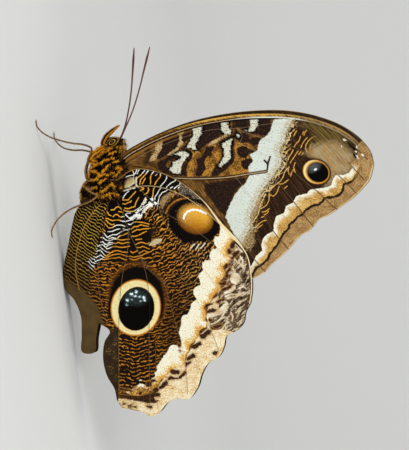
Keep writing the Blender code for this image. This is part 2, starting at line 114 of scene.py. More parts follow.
def note(mesh, **noted):
    """Keeps a number, or three, at each point of a mesh for its material to read, under a name."""
    for name, values in noted.items():
        kind, key = ("FLOAT", "value") if values.ndim == 1 else ("FLOAT_VECTOR", "vector")
        kept = mesh.attributes.new(name, kind, "POINT")
        kept.data.foreach_set(key, values.astype(np.float32).ravel())


def nearest(spots, line):
    """For each spot, the nearest point of a chain of straight runs, and how far off it is."""
    best = np.full(len(spots), np.inf)
    found = np.zeros_like(spots)
    for start, end in zip(line[:-1], line[1:]):
        run = end - start
        share = np.clip(((spots - start) @ run) / max(run @ run, 1e-12), 0.0, 1.0)
        point = start + share[:, None] * run
        gap = ((spots - point) ** 2).sum(1)
        closer = gap < best
        best[closer] = gap[closer]
        found[closer] = point[closer]
    return found, np.sqrt(best)


def put(name, data):
    """A new object in the scene that holds the given data."""
    thing = bpy.data.objects.new(name, data)
    bpy.context.collection.objects.link(thing)
    return thing


def mesh_of(form, name):
    """The mesh of a finished form, which is then let go."""
    mesh = bpy.data.meshes.new(name)
    form.to_mesh(mesh)
    form.free()
    return mesh


def add_piece(name, mesh, material):
    """Puts a finished mesh in the scene as a piece of the insect."""
    piece = put(name, mesh)
    mesh.materials.clear()
    mesh.materials.append(material)
    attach(piece, "root")
    return piece


def applied(piece):
    """A copy of an object's mesh with its modifiers applied. The object is removed."""
    graph = bpy.context.evaluated_depsgraph_get()
    graph.update()
    mesh = bpy.data.meshes.new_from_object(piece.evaluated_get(graph))
    bpy.data.objects.remove(piece, do_unlink=True)
    return mesh


def body_skin():
    form = bmesh.new()
    for along, lift, long, deep, wide in (THORAX, CHEST, HIP, NECK, HEAD, ABDOMEN):
        blown = bmesh.ops.create_uvsphere(form, u_segments=40, v_segments=28, radius=1.0)["verts"]
        bmesh.ops.scale(form, verts=blown, vec=(long - COAT, wide - COAT, deep - COAT))
        bmesh.ops.translate(form, verts=blown, vec=(along, 0.0, lift))
    for vertex in form.verts:
        if vertex.co.x > HIP[0] + HIP[2]:
            slim = 1.0 - ABDOMEN_TAPER * (vertex.co.x - ABDOMEN[0]) / ABDOMEN[2]
            vertex.co.yz *= slim
    bmesh.ops.rotate(form, verts=form.verts, matrix=Matrix.Rotation(BODY_PITCH, 3, "Y"))
    bmesh.ops.translate(form, verts=form.verts, vec=(THORAX_X, 0.0, THORAX_Z))
    bmesh.ops.scale(form, verts=form.verts, vec=(MM, MM, MM))
    mesh = mesh_of(form, "body_blank")
    blank = put("body_blank", mesh)
    fuse = blank.modifiers.new("fuse", "REMESH")
    fuse.mode = "VOXEL"
    fuse.voxel_size = SKIN_VOXEL * MM
    ease = blank.modifiers.new("ease", "SMOOTH")
    ease.factor = 0.5
    ease.iterations = 10
    skin = applied(blank)
    skin.name = "body_skin"
    places = points_of(skin) / MM
    along, across, lift = body_axes(places)
    reach = np.clip((along - 9.5) / 1.5, 0.0, 1.0)
    groove = 0.14 * reach * np.exp(-((np.mod(along, RING_LENGTH) / RING_LENGTH - 0.5) / 0.14) ** 2)
    shrink = 1.0 - groove / np.maximum(np.hypot(across, lift), 0.6)
    places = place_body(np.stack([along, across * shrink, lift * shrink], axis=1))
    skin.vertices.foreach_set("co", (places * MM).ravel())
    skin.update()
    skin.shade_smooth()
    return skin


def orange_share(places):
    """How orange the coat is at each place: 1 on its ridges, which join in a net under the belly."""
    along, across, lift = body_axes(places)
    draw = np.random.default_rng(7)
    low, high = np.array([-11.0, 0.0, -7.0]), np.array([10.0, 5.5, 7.0])
    cells = draw.uniform(low, high, (NET_CELLS, 3))
    here = np.stack([along, np.abs(across), lift], axis=1)
    gaps = np.sort(np.linalg.norm(here[:, None] - cells[None], axis=2), axis=1)
    net = np.clip((NET_RIDGE - (gaps[:, 1] - gaps[:, 0])) / 0.25 + 0.5, 0.0, 1.0)
    net *= np.clip((1.3 - np.abs(across)) / 0.6, 0.0, 1.0) * np.clip((9.0 - along) / 3.0, 0.0, 1.0)
    seen = np.stack([along, lift], axis=1)
    ridge = np.min([nearest(seen, np.array(line, dtype=float))[1] for line in RIDGES], axis=0)
    return np.maximum(net, np.clip((RIDGE_HALF - ridge) / 0.22 + 0.5, 0.0, 1.0))


def scatter(mesh, count, seed):
    """Places spread evenly over a mesh, with the surface's outward direction at each."""
    mesh.calc_loop_triangles()
    corners = np.zeros(len(mesh.loop_triangles) * 3, dtype=np.int32)
    mesh.loop_triangles.foreach_get("vertices", corners)
    corner_points = points_of(mesh)[corners.reshape(-1, 3)] / MM
    first, second = corner_points[:, 1] - corner_points[:, 0], corner_points[:, 2] - corner_points[:, 0]
    cross = np.cross(first, second)
    size = np.linalg.norm(cross, axis=1)
    draw = np.random.default_rng(seed)
    chosen = draw.choice(len(size), count, p=size / size.sum())
    share = draw.random((count, 2))
    over = share.sum(1) > 1.0
    share[over] = 1.0 - share[over]
    places = corner_points[chosen, 0] + share[:, :1] * first[chosen] + share[:, 1:] * second[chosen]
    return places, cross[chosen] / size[chosen][:, None]


def unit(rows):
    return rows / np.maximum(np.linalg.norm(rows, axis=1), 1e-9)[:, None]


def tufted_coat(name, roots, outward, lie, length, width, stand, unwrap, seed):
    """Thin three-sided tufts of scales, each bent over along the lie of the coat, as one mesh."""
    draw = np.random.default_rng(seed)
    count = len(roots)
    lie = unit(lie - outward * (lie * outward).sum(1)[:, None] + draw.normal(0.0, 0.22, (count, 3)))
    beside = unit(np.cross(outward, lie))
    length = length * draw.uniform(0.7, 1.3, count)
    rise = unit(outward * stand[:, None] + lie * (1.0 - stand[:, None]))
    bend = unit(outward * stand[:, None] * 0.35 + lie)
    middle = roots + rise * (length * 0.5)[:, None]
    tip = middle + bend * (length * 0.5)[:, None]
    rows = []
    patch = []
    for centre, share, along in ((roots - outward * 0.12, 1.0, -1.0), (middle, 0.8, 0.0)):
        for turn in (0.0, 2.1, 4.2):
            spread = beside * math.cos(turn) + outward * 0.5 * math.sin(turn)
            rows.append(centre + spread * (width * share)[:, None])
            patch.append((math.cos(turn) * TUFT_PATCH, along * TUFT_PATCH))
    rows.append(tip)
    patch.append((0.0, TUFT_PATCH))
    corners = np.stack(rows, axis=1).reshape(-1, 3)
    sides = np.array([(0, 1, 4, 3), (1, 2, 5, 4), (2, 0, 3, 5)])
    ends = np.array([(3, 4, 6), (4, 5, 6), (5, 3, 6), (2, 1, 0)])
    first = (np.arange(count) * TUFT_CORNERS)[:, None, None]
    faces = (first + sides[None]).reshape(-1, 4).tolist() + (first + ends[None]).reshape(-1, 3).tolist()
    mesh = bpy.data.meshes.new(name)
    mesh.from_pydata((corners * MM).tolist(), [], faces)
    mesh.validate()
    places = (unwrap[:, None, :] + np.array(patch)[None]).reshape(-1, 2)
    chart = mesh.uv_layers.new(name="OFBake")
    loops = np.zeros(len(mesh.loops), dtype=np.int32)
    mesh.loops.foreach_get("vertex_index", loops)
    chart.data.foreach_set("uv", places[loops].ravel())
    note(mesh,
         tip=np.tile([0.0, 0.0, 0.0, 0.5, 0.5, 0.5, 1.0], count),
         tuft=np.repeat(draw.random(count), TUFT_CORNERS))
    mesh.shade_smooth()
    return mesh


def body_unwrap(places):
    """Where a place falls on the skin slit along the belly and laid flat."""
    along, across, lift = body_axes(places)
    around = np.arctan2(across, lift) / (2 * math.pi) + 0.5
    return np.stack([around * 0.98 + 0.01, (along + 14.0) / 45.0], axis=1)


class Shade:
    """A shader socket. Sums on it add Math nodes, and node() adds any other kind of node."""

    def __init__(self, tree, socket=None):
        self.tree = tree
        self.socket = socket

    def node(self, kind, settings=None, values=None, output=0):
        """Adds a node, its settings first and then its sockets' values or links."""
        made = self.tree.nodes.new(kind)
        for name, setting in (settings or {}).items():
            setattr(made, name, setting)
        for name, value in (values or {}).items():
            if isinstance(value, Shade):
                self.tree.links.new(value.socket, made.inputs[name])
            else:
                made.inputs[name].default_value = value
        return Shade(self.tree, made.outputs[output])

    def math(self, operation, *terms, clamp=False):
        settings = {"operation": operation, "use_clamp": clamp}
        return self.node("ShaderNodeMath", settings, dict(enumerate(terms)))

    def __add__(self, other):
        return self.math("ADD", self, other)

    def __sub__(self, other):
        return self.math("SUBTRACT", self, other)

    def __rsub__(self, other):
        return self.math("SUBTRACT", other, self)

    def __mul__(self, other):
        return self.math("MULTIPLY", self, other)

    __radd__ = __add__
    __rmul__ = __mul__

    def mix(self, first, second, share):
        """The first colour turning into the second as share goes from 0 to 1."""
        first, second = (tint if isinstance(tint, Shade) else screen(*tint) for tint in (first, second))
        return self.node("ShaderNodeMix", {"data_type": "RGBA"}, {0: share, 6: first, 7: second}, output=2)

    def blend(self, first, second, reach, blur=0.15, most=1.0):
        """The first colour, and up to a given share of the second where a distance is above zero."""
        share = self.within(reach, blur)
        return self.mix(first, second, share if most == 1.0 else share * most)

    def lay(self, over, reach, blur=0.15, most=1.0):
        """This colour with another laid over it in the same way."""
        return self.blend(self, over, reach, blur, most)

    def __getitem__(self, name):
        return self.given(name)

    def given(self, name, output="Fac"):
        """A number or vector noted at the mesh's points."""
        return self.node("ShaderNodeAttribute", {"attribute_name": name}, output=output)

    def off_line(self, name):
        """Distance from lines noted on a wing, exact beside them though the mesh is coarser."""
        step = self.given(name, "Vector")
        flat = self.node("ShaderNodeVectorMath", {"operation": "MULTIPLY"}, {0: step, 1: (1.0, 1.0, 0.0)})
        near = self.node("ShaderNodeVectorMath", {"operation": "LENGTH"}, {0: flat}, output=1)
        upward = {0: step, 1: (0.0, 0.0, 1.0)}
        far = self.node("ShaderNodeVectorMath", {"operation": "DOT_PRODUCT"}, upward, output=1)
        return self.math("MAXIMUM", near, far - 0.3)

    def off_set(self, name):
        """Distance from lines noted in separate sets, because they run close together."""
        first, *rest = [self.off_line(f"{name}_{k}") for k in range(LINE_SETS)]
        for other in rest:
            first = self.math("MINIMUM", first, other)
        return first

    def stretched(self, at, out, back):
        """A place with its two directions scaled, so that noise read there comes out in streaks."""
        return self.node("ShaderNodeVectorMath", {"operation": "MULTIPLY"}, {0: at, 1: (out, back, 1.0)})

    def grain(self, at, size, detail=2.0):
        """Noise about 0, from -0.5 to 0.5, with grains of the given size in millimetres."""
        noise = self.node("ShaderNodeTexNoise", None, {"Vector": at, "Scale": 1.0 / size, "Detail": detail})
        return noise - 0.5

    def place(self):
        """The place on the insect, in millimetres."""
        here = self.node("ShaderNodeTexCoord", output="Object")
        return self.node("ShaderNodeVectorMath", {"operation": "SCALE"}, {0: here, "Scale": 1.0 / MM})

    def within(self, reach, blur=0.15):
        """1 where a distance is above zero, 0 where it is below, with a soft step between."""
        return self.math("MULTIPLY_ADD", reach, 1.0 / blur, 0.5, clamp=True)

    def dress(self, shader, colour, height=None):
        """Feeds a colour, and a height in millimetres as bump, to a Principled shader."""
        self.tree.links.new(colour.socket, shader.inputs["Base Color"])
        if height is not None:
            values = {"Strength": 0.6, "Distance": MM, "Height": height}
            bump = self.node("ShaderNodeBump", None, values)
            self.tree.links.new(bump.socket, shader.inputs["Normal"])


def screen(red, green, blue):
    """A colour as a screen gives it, 0 to 255, in the linear values that a shader takes."""
    shares = [value / 255 for value in (red, green, blue)]
    linear = [((share + 0.055) / 1.055) ** 2.4 if share > 0.04 else share / 12.92 for share in shares]
    return (*linear, 1.0)


def new_material(name, roughness, specular=0.05):
    """A material, its Principled shader and a Shade to work with."""
    material = bpy.data.materials.new(name)
    material.use_nodes = True
    shader = material.node_tree.nodes["Principled BSDF"]
    shader.inputs["Roughness"].default_value = roughness
    shader.inputs["Specular IOR Level"].default_value = specular
    return material, shader, Shade(material.node_tree)


BLACK = (12, 8, 6)
FUR_ORANGE = (236, 150, 14)


def coat_material(name, orange=FUR_ORANGE, dark=BLACK):
    """Tufts: dark at the root and lighter to the tip, orange where the net's ridges run."""
    material, shader, paint = new_material(name, 0.62)
    tuft = paint["tuft"]
    share = paint.within(paint["orange"] - 0.65 + tuft * 0.25, 0.24)
    deep = paint.blend(dark, (140, 92, 22), tuft - 0.9, 0.12)
    bright = paint.mix(orange, (252, 194, 66), tuft * tuft)
    bright = paint.mix((120, 64, 8), bright, paint["tip"] + 0.4)
    dull = paint.mix((74, 52, 30), (122, 92, 56), tuft)
    colour = paint.mix(paint.mix(deep, bright, share), dull, paint["dull"])
    paint.dress(shader, colour)
    return material


def skin_material():
    material, shader, paint = new_material("body_skin", 0.7)
    at = paint.place()
    fine = paint.grain(at, 0.25, 3.0)
    share = paint.within(paint["orange"] - 0.5 + fine * 0.6, 0.35)
    colour = paint.mix(BLACK, (136, 80, 20), share)
    colour = paint.mix(colour, paint.mix((58, 42, 26), (96, 72, 44), fine + 0.5), paint["dull"])
    paint.dress(shader, colour, fine * 0.12)
    return material


skin = body_skin()
skin_places = points_of(skin) / MM
note(skin,
     orange=orange_share(skin_places), dull=np.clip((body_axes(skin_places)[0] - 8.0) / 3.0, 0.0, 1.0))
body = add_piece("body_skin", skin, skin_material())
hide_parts("head", "thorax", "abdomen")
roots, outward = scatter(skin, BODY_TUFTS, seed=11)
along, across, lift = body_axes(roots)
on_head = np.clip((-8.6 - along) / 1.2, 0.0, 1.0)
on_tail = np.clip((along - 7.0) / 3.0, 0.0, 1.0)
tail_ward = place_body(np.array([(1.0, 0.0, 0.0)])) - place_body(np.array([(0.0, 0.0, 0.0)]))
lie = np.repeat(tail_ward, len(roots), axis=0)
lie[:, 2] -= 0.35 * (1.0 - on_head)
orange = orange_share(roots + lie * 0.4)
on_crown = on_head * np.clip((lift - 1.4) / 1.0, 0.0, 1.0)
orange = np.maximum(orange, 0.44 * on_crown)
tuft_length = 1.15 - 0.35 * on_head - 0.4 * on_tail + 0.2 * orange + 1.25 * on_crown
tuft_stand = 0.36 + 0.18 * orange + 0.1 * on_head - 0.1 * on_tail + 0.35 * on_crown
coat = tufted_coat("body_coat", roots, outward, lie, tuft_length, np.full(len(roots), 0.11), tuft_stand,
                   body_unwrap(roots), seed=12)
note(coat, orange=np.repeat(orange, TUFT_CORNERS), dull=np.repeat(on_tail, TUFT_CORNERS))
fur = coat_material("body_coat")
add_piece("body_coat", coat, fur)

# Eyes: two domes of tiny lenses, smooth and a little glossy, banded in rings of dark brown and
# olive gold. Each is a sphere drawn out along the cheek and set half into the side of the head.
EYE_ALONG, EYE_OUT, EYE_LIFT = -11.4, 1.9, 0.15
EYE_HALVES = (2.1, 1.5, 1.65)
EYE_TILT = math.radians(40.0)
EYE_BANDS = 2.5
EYE_LENS = 0.09


def eye_material():
    material, shader, paint = new_material("eye_facets", 0.4, 0.12)
    at = paint.place()
    rings = paint["rings"] * EYE_BANDS + paint.grain(at, 1.2) * 0.3
    wave = rings.math("ABSOLUTE", rings.math("FRACT", rings) - 0.5)
    colour = paint.blend((166, 124, 30), (10, 7, 5), 0.37 - wave, 0.1)
    lenses = paint.node("ShaderNodeTexVoronoi", {"feature": "F1"}, {"Vector": at, "Scale": 1.0 / EYE_LENS})
    paint.dress(shader, colour, lenses * -0.02)
    return material


def eye_dome(side):
    form = bmesh.new()
    dome = bmesh.ops.create_uvsphere(form, u_segments=48, v_segments=32, radius=1.0)["verts"]
    bmesh.ops.scale(form, verts=dome, vec=EYE_HALVES)
    seen = np.array([(v.co.x / EYE_HALVES[0], v.co.z / EYE_HALVES[2]) for v in dome])
    bmesh.ops.rotate(form, verts=dome, matrix=Matrix.Rotation(BODY_PITCH + EYE_TILT, 3, "Y"))
    centre = place_body(np.array([(EYE_ALONG, side * EYE_OUT, EYE_LIFT)]))[0]
    bmesh.ops.translate(form, verts=dome, vec=centre)
    bmesh.ops.scale(form, verts=dome, vec=(MM, MM, MM))
    mesh = mesh_of(form, "eye")
    note(mesh, rings=np.hypot(0.78 * seen[:, 0], 1.08 * seen[:, 1]))
    mesh.shade_smooth()
    return mesh


facets = eye_material()
for side_name, side in SIDES.items():
    eye = add_piece("eye_dome_" + side_name, eye_dome(side), facets)
    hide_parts("eye_" + side_name)

# Palps: a pair of upturned, three-jointed feelers that guard the tongue in front of the face. Each
# is a curved stem with a dark stripe between a tan front edge and a golden rear one.
PALP_PATH = [(-7.6, 1.1, 20.2), (-8.7, 1.5, 18.4), (-10.8, 1.7, 19.4), (-12.5, 1.5, 21.5), (-13.9, 1.2, 23.9)]
PALP_RADII = [0.45, 0.55, 0.52, 0.38, 0.1]
PALP_TUFTS = 2600
PALP_TUFT = (0.55, 0.05, 0.3)
STEM_STEP = 0.25


def smooth_line(points, step):
    """Even points about a step apart on a smooth curve through the given ones."""
    knots = np.array(points, dtype=float)
    runs = np.linalg.norm(np.diff(knots, axis=0), axis=1)
    at = np.concatenate(([0.0], np.cumsum(runs)))
    straight = np.diff(knots, axis=0) / runs[:, None]
    slopes = np.gradient(knots, at, axis=0) if len(knots) > 2 else np.repeat(straight, 2, axis=0)
    result = []
    for value in np.linspace(0.0, at[-1], max(1, round(at[-1] / step)) + 1):
        k = min(int(np.searchsorted(at, value, side="right")) - 1, len(runs) - 1)
        t = (value - at[k]) / runs[k]
        start = (1 + 2 * t) * (1 - t) ** 2 * knots[k] + t * (1 - t) ** 2 * runs[k] * slopes[k]
        end = t * t * (3 - 2 * t) * knots[k + 1] - t * t * (1 - t) * runs[k] * slopes[k + 1]
        result.append(start + end)
    return np.array(result)


def path_of(points, side=1, step=STEM_STEP):
    """An even path through points whose x starts at the wing root, mirrored where side is -1."""
    return smooth_line([(ROOT_X + x, y * side, z) for x, y, z in points], step)


def stem_mesh(name, path, radii):
    """A round stem along a path, closed at both ends, with its length and its edges noted."""
    curve = bpy.data.curves.new(name, "CURVE")
    curve.dimensions = "3D"
    curve.bevel_depth = MM
    curve.bevel_resolution = 4
    curve.use_fill_caps = True
    spline = curve.splines.new("POLY")
    spline.points.add(len(path) - 1)
    for point, where, radius in zip(spline.points, path, radii):
        point.co = (*(where * MM), 1.0)
        point.radius = radius
    mesh = applied(put(name, curve))
    mesh.name = name
    form = bmesh.new()
    form.from_mesh(mesh)
    bmesh.ops.remove_doubles(form, verts=form.verts, dist=0.001 * MM)
    for vertex in form.verts:
        vertex.co.z = max(vertex.co.z, 0.0)
    bmesh.ops.recalc_face_normals(form, faces=form.faces)
    form.to_mesh(mesh)
    form.free()
    places = points_of(mesh) / MM
    reach, _, front, centre = along_path(places, path)
    note(mesh, reach=reach, front=(unit(places - centre) * front).sum(1))
    mesh.shade_smooth()
    return mesh


def run_of(path):
    """The length of path before each of its points."""
    return np.concatenate(([0.0], np.cumsum(np.linalg.norm(np.diff(path, axis=0), axis=1))))


def along_path(places, path):
    """For each place: the path's length before it, its heading and front there, and its nearest point."""
    centre, _ = nearest(places, path)
    knot = np.linalg.norm(places[:, None] - path[None], axis=2).argmin(1)
    heading = unit(np.gradient(path, axis=0))[knot]
    front = unit(np.stack([-heading[:, 2], np.zeros(len(places)), heading[:, 0]], axis=1))
    return run_of(path)[knot], heading, front, centre


def stem_coat(name, mesh, path, count, length, width, stand, seed):
    """Short tufts over a stem, lying towards its tip."""
    roots, outward = scatter(mesh, count, seed)
    reach, heading, front, _ = along_path(roots, path)
    facing = (outward * front).sum(1)
    around = np.arctan2(outward[:, 1], facing) / (2 * math.pi) + 0.5
    unwrap = np.stack([around * 0.98 + 0.01, reach / max(reach.max(), 1e-6) * 0.98 + 0.01], axis=1)
    sizes = [np.full(count, size) for size in (length, width, stand)]
    coat = tufted_coat(name, roots, outward, heading, *sizes, unwrap, seed + 1)
    note(coat, front=np.repeat(facing, TUFT_CORNERS), reach=np.repeat(reach, TUFT_CORNERS))
    return coat


def radii_along(values, count):
    return np.interp(np.linspace(0.0, len(values) - 1, count), range(len(values)), values)


def palp_material():
    material, shader, paint = new_material("palp_scales", 0.6)
    front = paint["front"] + paint.grain(paint.place(), 0.4) * 0.3
    colour = paint.blend((220, 148, 36), (20, 12, 9), front + 0.35, 0.18)
    colour = colour.lay((190, 134, 84), front - 0.45, 0.18)
    paint.dress(shader, colour, paint.grain(paint.place(), 0.15) * 0.1)
    return material


palp_scales = palp_material()
for side_name, side in SIDES.items():
    path = path_of(PALP_PATH, side)
    stem = stem_mesh("palp_stem_" + side_name, path, radii_along(PALP_RADII, len(path)))
    palp = add_piece("palp_stem_" + side_name, stem, palp_scales)
    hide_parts("palp_" + side_name)
    hair = stem_coat("palp_coat_" + side_name, stem, path, PALP_TUFTS, *PALP_TUFT, seed=31)
    add_piece("palp_coat_" + side_name, hair, palp_scales)

# Proboscis: the sucking tongue, two half tubes zipped into one and rolled up flat between the
# palps. A thin ringed tube is led down from the mouth and wound inwards.
COIL_X, COIL_Z = -9.9, 19.75
COIL_OUTER, COIL_INNER, COIL_TURNS, COIL_STEPS = 1.05, 0.35, 2.25, 90
COIL_RADIUS = 0.15


def horn_material(name, light, dark, roughness=0.45):
    """Bare horn with faint rings across it, darker in the rings."""
    material, shader, paint = new_material(name, roughness, 0.4)
    turn = paint["reach"] * (1.0 / 0.5)
    groove = paint.math("ABSOLUTE", turn.math("FRACT", turn) - 0.5)
    grain = paint.grain(paint.place(), 0.3)
    colour = paint.blend(dark, light, groove - 0.1 + grain * 0.2, 0.2)
    paint.dress(shader, colour, paint.within(groove - 0.06, 0.15) * 0.03)
    return material


path = [(-8.3, 0.0, 20.9), (-8.6, 0.0, 19.9)]
for k in range(COIL_STEPS + 1):
    turn = k / COIL_STEPS
    radius = COIL_OUTER + (COIL_INNER - COIL_OUTER) * turn
    angle = -2 * math.pi * COIL_TURNS * turn
    path.append((COIL_X + radius * math.cos(angle), 0.0, COIL_Z + radius * math.sin(angle)))
path = np.array(path) + (ROOT_X, 0.0, 0.0)
stem = stem_mesh("proboscis_coil", path, radii_along([COIL_RADIUS, COIL_RADIUS, 0.1], len(path)))
tongue = horn_material("proboscis_horn", (92, 56, 30), (44, 26, 16))
proboscis = add_piece("proboscis_coil", stem, tongue)
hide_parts("proboscis")

# Antennae: many-jointed feelers, thin and stiff, that thicken to a slim club near the tip. Each is
# a fine tapering tube of dark maroon horn with a ring at every joint.
ANTENNA_PATHS = {
    "left": [(-8.6, -0.9, 22.9), (-10.2, -1.3, 24.4), (-12.9, -2.2, 26.1), (-17.8, -4.0, 28.3),
             (-24.0, -6.0, 30.4), (-30.3, -8.3, 32.1), (-37.2, -10.5, 33.8)],
    "right": [(-8.6, 0.9, 22.9), (-10.2, 1.3, 24.1), (-13.1, 2.2, 25.8), (-17.6, 4.0, 28.2),
              (-24.3, 6.5, 31.0), (-31.1, 9.0, 33.3), (-38.4, 11.5, 35.8)],
}
ANTENNA_RADII = [0.26, 0.25, 0.25, 0.24, 0.24, 0.24, 0.25, 0.32, 0.38, 0.16]
feeler_horn = horn_material("feeler_horn", (86, 32, 14), (36, 12, 6))
for side_name, points in ANTENNA_PATHS.items():
    path = path_of(points)
    joint = 1.0 + 0.08 * np.sin(np.arange(len(path)) * math.pi)
    stem = stem_mesh("antenna_stem_" + side_name, path, radii_along(ANTENNA_RADII, len(path)) * joint)
    antenna = add_piece("antenna_stem_" + side_name, stem, feeler_horn)
    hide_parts("antenna_" + side_name)

# Legs: the front pair are short furry brushes held up under the face. The other four walk, each
# with a thigh, a thin spiny shin and a foot of five joints that ends in two small claws.
FOOT = 0.22
FORELEG = [(-2.6, 2.2, 16.6), (-4.4, 3.9, 13.9), (-5.5, 4.0, 14.5), (-6.7, 3.5, 16.5), (-7.5, 3.0, 18.2)]
LEG_PATHS = {
    "midleg_left": [
        (1.2, -2.0, 15.1), (2.1, -3.8, 12.4), (-0.5, -4.9, 12.2), (-4.2, -6.4, 13.8),
        (-7.9, -8.0, 15.4), (-8.9, -8.7, 13.8), (-10.0, -10.4, 10.0), (-11.4, -12.0, 6.4),
        (-13.0, -13.1, 3.4), (-15.0, -13.9, 1.2), (-16.8, -14.3, FOOT), (-18.4, -14.5, FOOT)],
    "midleg_right": [
        (1.2, 2.0, 14.5), (2.0, 3.8, 11.2), (-0.6, 4.9, 10.8), (-4.0, 6.4, 11.6),
        (-7.0, 8.0, 12.4), (-7.9, 9.0, 10.4), (-8.6, 10.6, 6.3), (-9.9, 12.2, 3.0),
        (-11.6, 13.2, 1.2), (-13.4, 14.0, FOOT), (-15.0, 14.4, FOOT)],
    "hindleg_left": [
        (5.4, -2.0, 14.5), (4.6, -4.3, 11.4), (6.2, -5.6, 13.0), (7.6, -7.0, 15.0),
        (8.8, -7.9, 13.2), (9.8, -9.0, 9.8), (10.8, -10.2, 6.6), (12.8, -11.6, 3.2),
        (15.0, -12.6, 1.2), (17.0, -13.1, FOOT), (18.6, -13.4, FOOT)],
    "hindleg_right": [
        (5.4, 2.0, 14.5), (4.8, 4.3, 11.2), (7.4, 6.0, 12.4), (11.0, 8.2, 13.6),
        (13.0, 9.2, 12.4), (17.0, 10.6, 8.6), (21.6, 11.8, 4.8), (25.0, 12.6, 2.2),
        (28.0, 13.2, 0.8), (30.4, 13.6, FOOT), (32.0, 13.8, FOOT)],
}
LEG_RADII = [0.5, 0.44, 0.38, 0.32, 0.28, 0.25, 0.23, 0.22, 0.2]
BRUSH_RADII = [0.4, 0.42, 0.36, 0.2]
FOOT_JOINT = 1.5
FOOT_LENGTH = 7.2
SPINE_STEP = 0.9
LEG_STEP = 0.22
JOINT_DIP, DIP_HALF = 0.22, 0.16
SPINE, CLAW = (0.55, 0.05), (0.6, 0.1)
LEG_TUFTS = 1500
LEG_TUFT = (0.42, 0.035, 0.22)
BRUSH_TUFTS = 2200
BRUSH_TUFT = (0.95, 0.06, 0.4)


def leg_material():
    material, shader, paint = new_material("leg_scales", 0.55)
    at = paint.place()
    grain = paint.grain(at, 0.35, 3.0)
    light = paint.within(grain + paint["front"] * 0.4, 0.6)
    colour = paint.mix((50, 30, 14), (156, 120, 70), light)
    paint.dress(shader, colour, paint.grain(at, 0.12) * 0.08)
    return material


def claw_material():
    material, shader, paint = new_material("claw_horn", 0.35, 0.5)
    paint.dress(shader, paint.mix((40, 24, 16), (72, 44, 26), paint.grain(paint.place(), 0.3) + 0.5))
    return material


def spines(path, radii):
    """Thin cones set in pairs along the shin and foot, and two claws at the end, as one mesh."""
    form = bmesh.new()
    heading = unit(np.gradient(path, axis=0))
    run = run_of(path)
    places = np.arange(run[-1] * 0.52, run[-1] - 0.4, SPINE_STEP)
    set_at = [(place, turn, *SPINE) for place in places for turn in (0.9, -0.9)]
    set_at += [(run[-1] - 0.05, turn, *CLAW) for turn in (0.5, -0.5)]
    for place, turn, length, thick in set_at:
        k = min(int(np.searchsorted(run, place)), len(path) - 1)
        along = Vector(heading[k])
        down = Vector((0.0, 0.0, -1.0)) if k < len(path) * 0.8 else Vector((0.0, 0.0, 1.0))
        aside = along.cross(down).normalized()
        point = (along * 0.9 + down * 0.35 * math.cos(turn) + aside * math.sin(turn) * 0.7).normalized()
        cone = bmesh.ops.create_cone(form, cap_ends=True, segments=6, radius1=thick, radius2=0.01,
                                     depth=length)
        turned = Vector((0.0, 0.0, 1.0)).rotation_difference(point).to_matrix()
        bmesh.ops.rotate(form, verts=cone["verts"], matrix=turned)
        root = Vector(path[k]) + point * (length / 2 + radii[k] * 0.4)
        bmesh.ops.translate(form, verts=cone["verts"], vec=root)
    for vertex in form.verts:
        vertex.co.z = max(vertex.co.z, 0.0)
    bmesh.ops.scale(form, verts=form.verts, vec=(MM, MM, MM))
    mesh = mesh_of(form, "spines")
    mesh.shade_smooth()
    return mesh


leg_scales = leg_material()
claw_horn = claw_material()
for name, points in LEG_PATHS.items():
    path = path_of(points, step=LEG_STEP)
    run = run_of(path)
    left = run[-1] - run
    dip = JOINT_DIP * np.exp(-((np.mod(left, FOOT_JOINT) - FOOT_JOINT / 2) / DIP_HALF) ** 2)
    pinch = np.where(left < FOOT_LENGTH, 1.0 - dip, 1.0)
    radii = radii_along(LEG_RADII, len(path)) * pinch
    radii[-1] *= 0.5
    stem = stem_mesh(name + "_shell", path, radii)
    leg = add_piece(name + "_shell", stem, leg_scales)
    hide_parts(name)
    hair = stem_coat(name + "_coat", stem, path, LEG_TUFTS, *LEG_TUFT, seed=41)
    add_piece(name + "_coat", hair, leg_scales)
    add_piece(name + "_spines", spines(path, radii), claw_horn)
for side_name, side in SIDES.items():
    path = path_of(FORELEG, side)
    stem = stem_mesh("foreleg_stem_" + side_name, path, radii_along(BRUSH_RADII, len(path)))
    every = np.ones(len(stem.vertices))
    note(stem, orange=every, dull=every * 0.0, tuft=every * 0.3, tip=every * 0.5)
    foreleg = add_piece("foreleg_stem_" + side_name, stem, fur)
    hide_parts("foreleg_" + side_name)
    hair = stem_coat("foreleg_coat_" + side_name, stem, path, BRUSH_TUFTS, *BRUSH_TUFT, seed=51)
    facing = np.zeros(len(hair.vertices), dtype=np.float32)
    hair.attributes["front"].data.foreach_get("value", facing)
    note(hair, orange=np.clip(np.abs(facing) * 2.2 - 0.2, 0.0, 1.0), dull=np.zeros(len(hair.vertices)))
    add_piece("foreleg_coat_" + side_name, hair, fur)

# Forewings: a pair of stiff, triangular membranes held up by hollow veins and closed over the
# back. Both faces are tiled with flat scales whose colours make the markings, so the markings
# are outlines on the wing, measured out from its root and back towards the tail.
LEAN = math.radians(7.6)
CELL = 0.34
LINE_SETS = 4
CLEAR_OF = 1.5
MEMBRANE = 0.15
RIM = 0.07
RIDGE = 0.16
FORE_LAYER = 0.65
FLOW_ROOT = (-2.6, 2.0)
BODY_BULGE = 2.3
BULGE_ABOVE = 11.9
EDGE_FLARE = 1.3

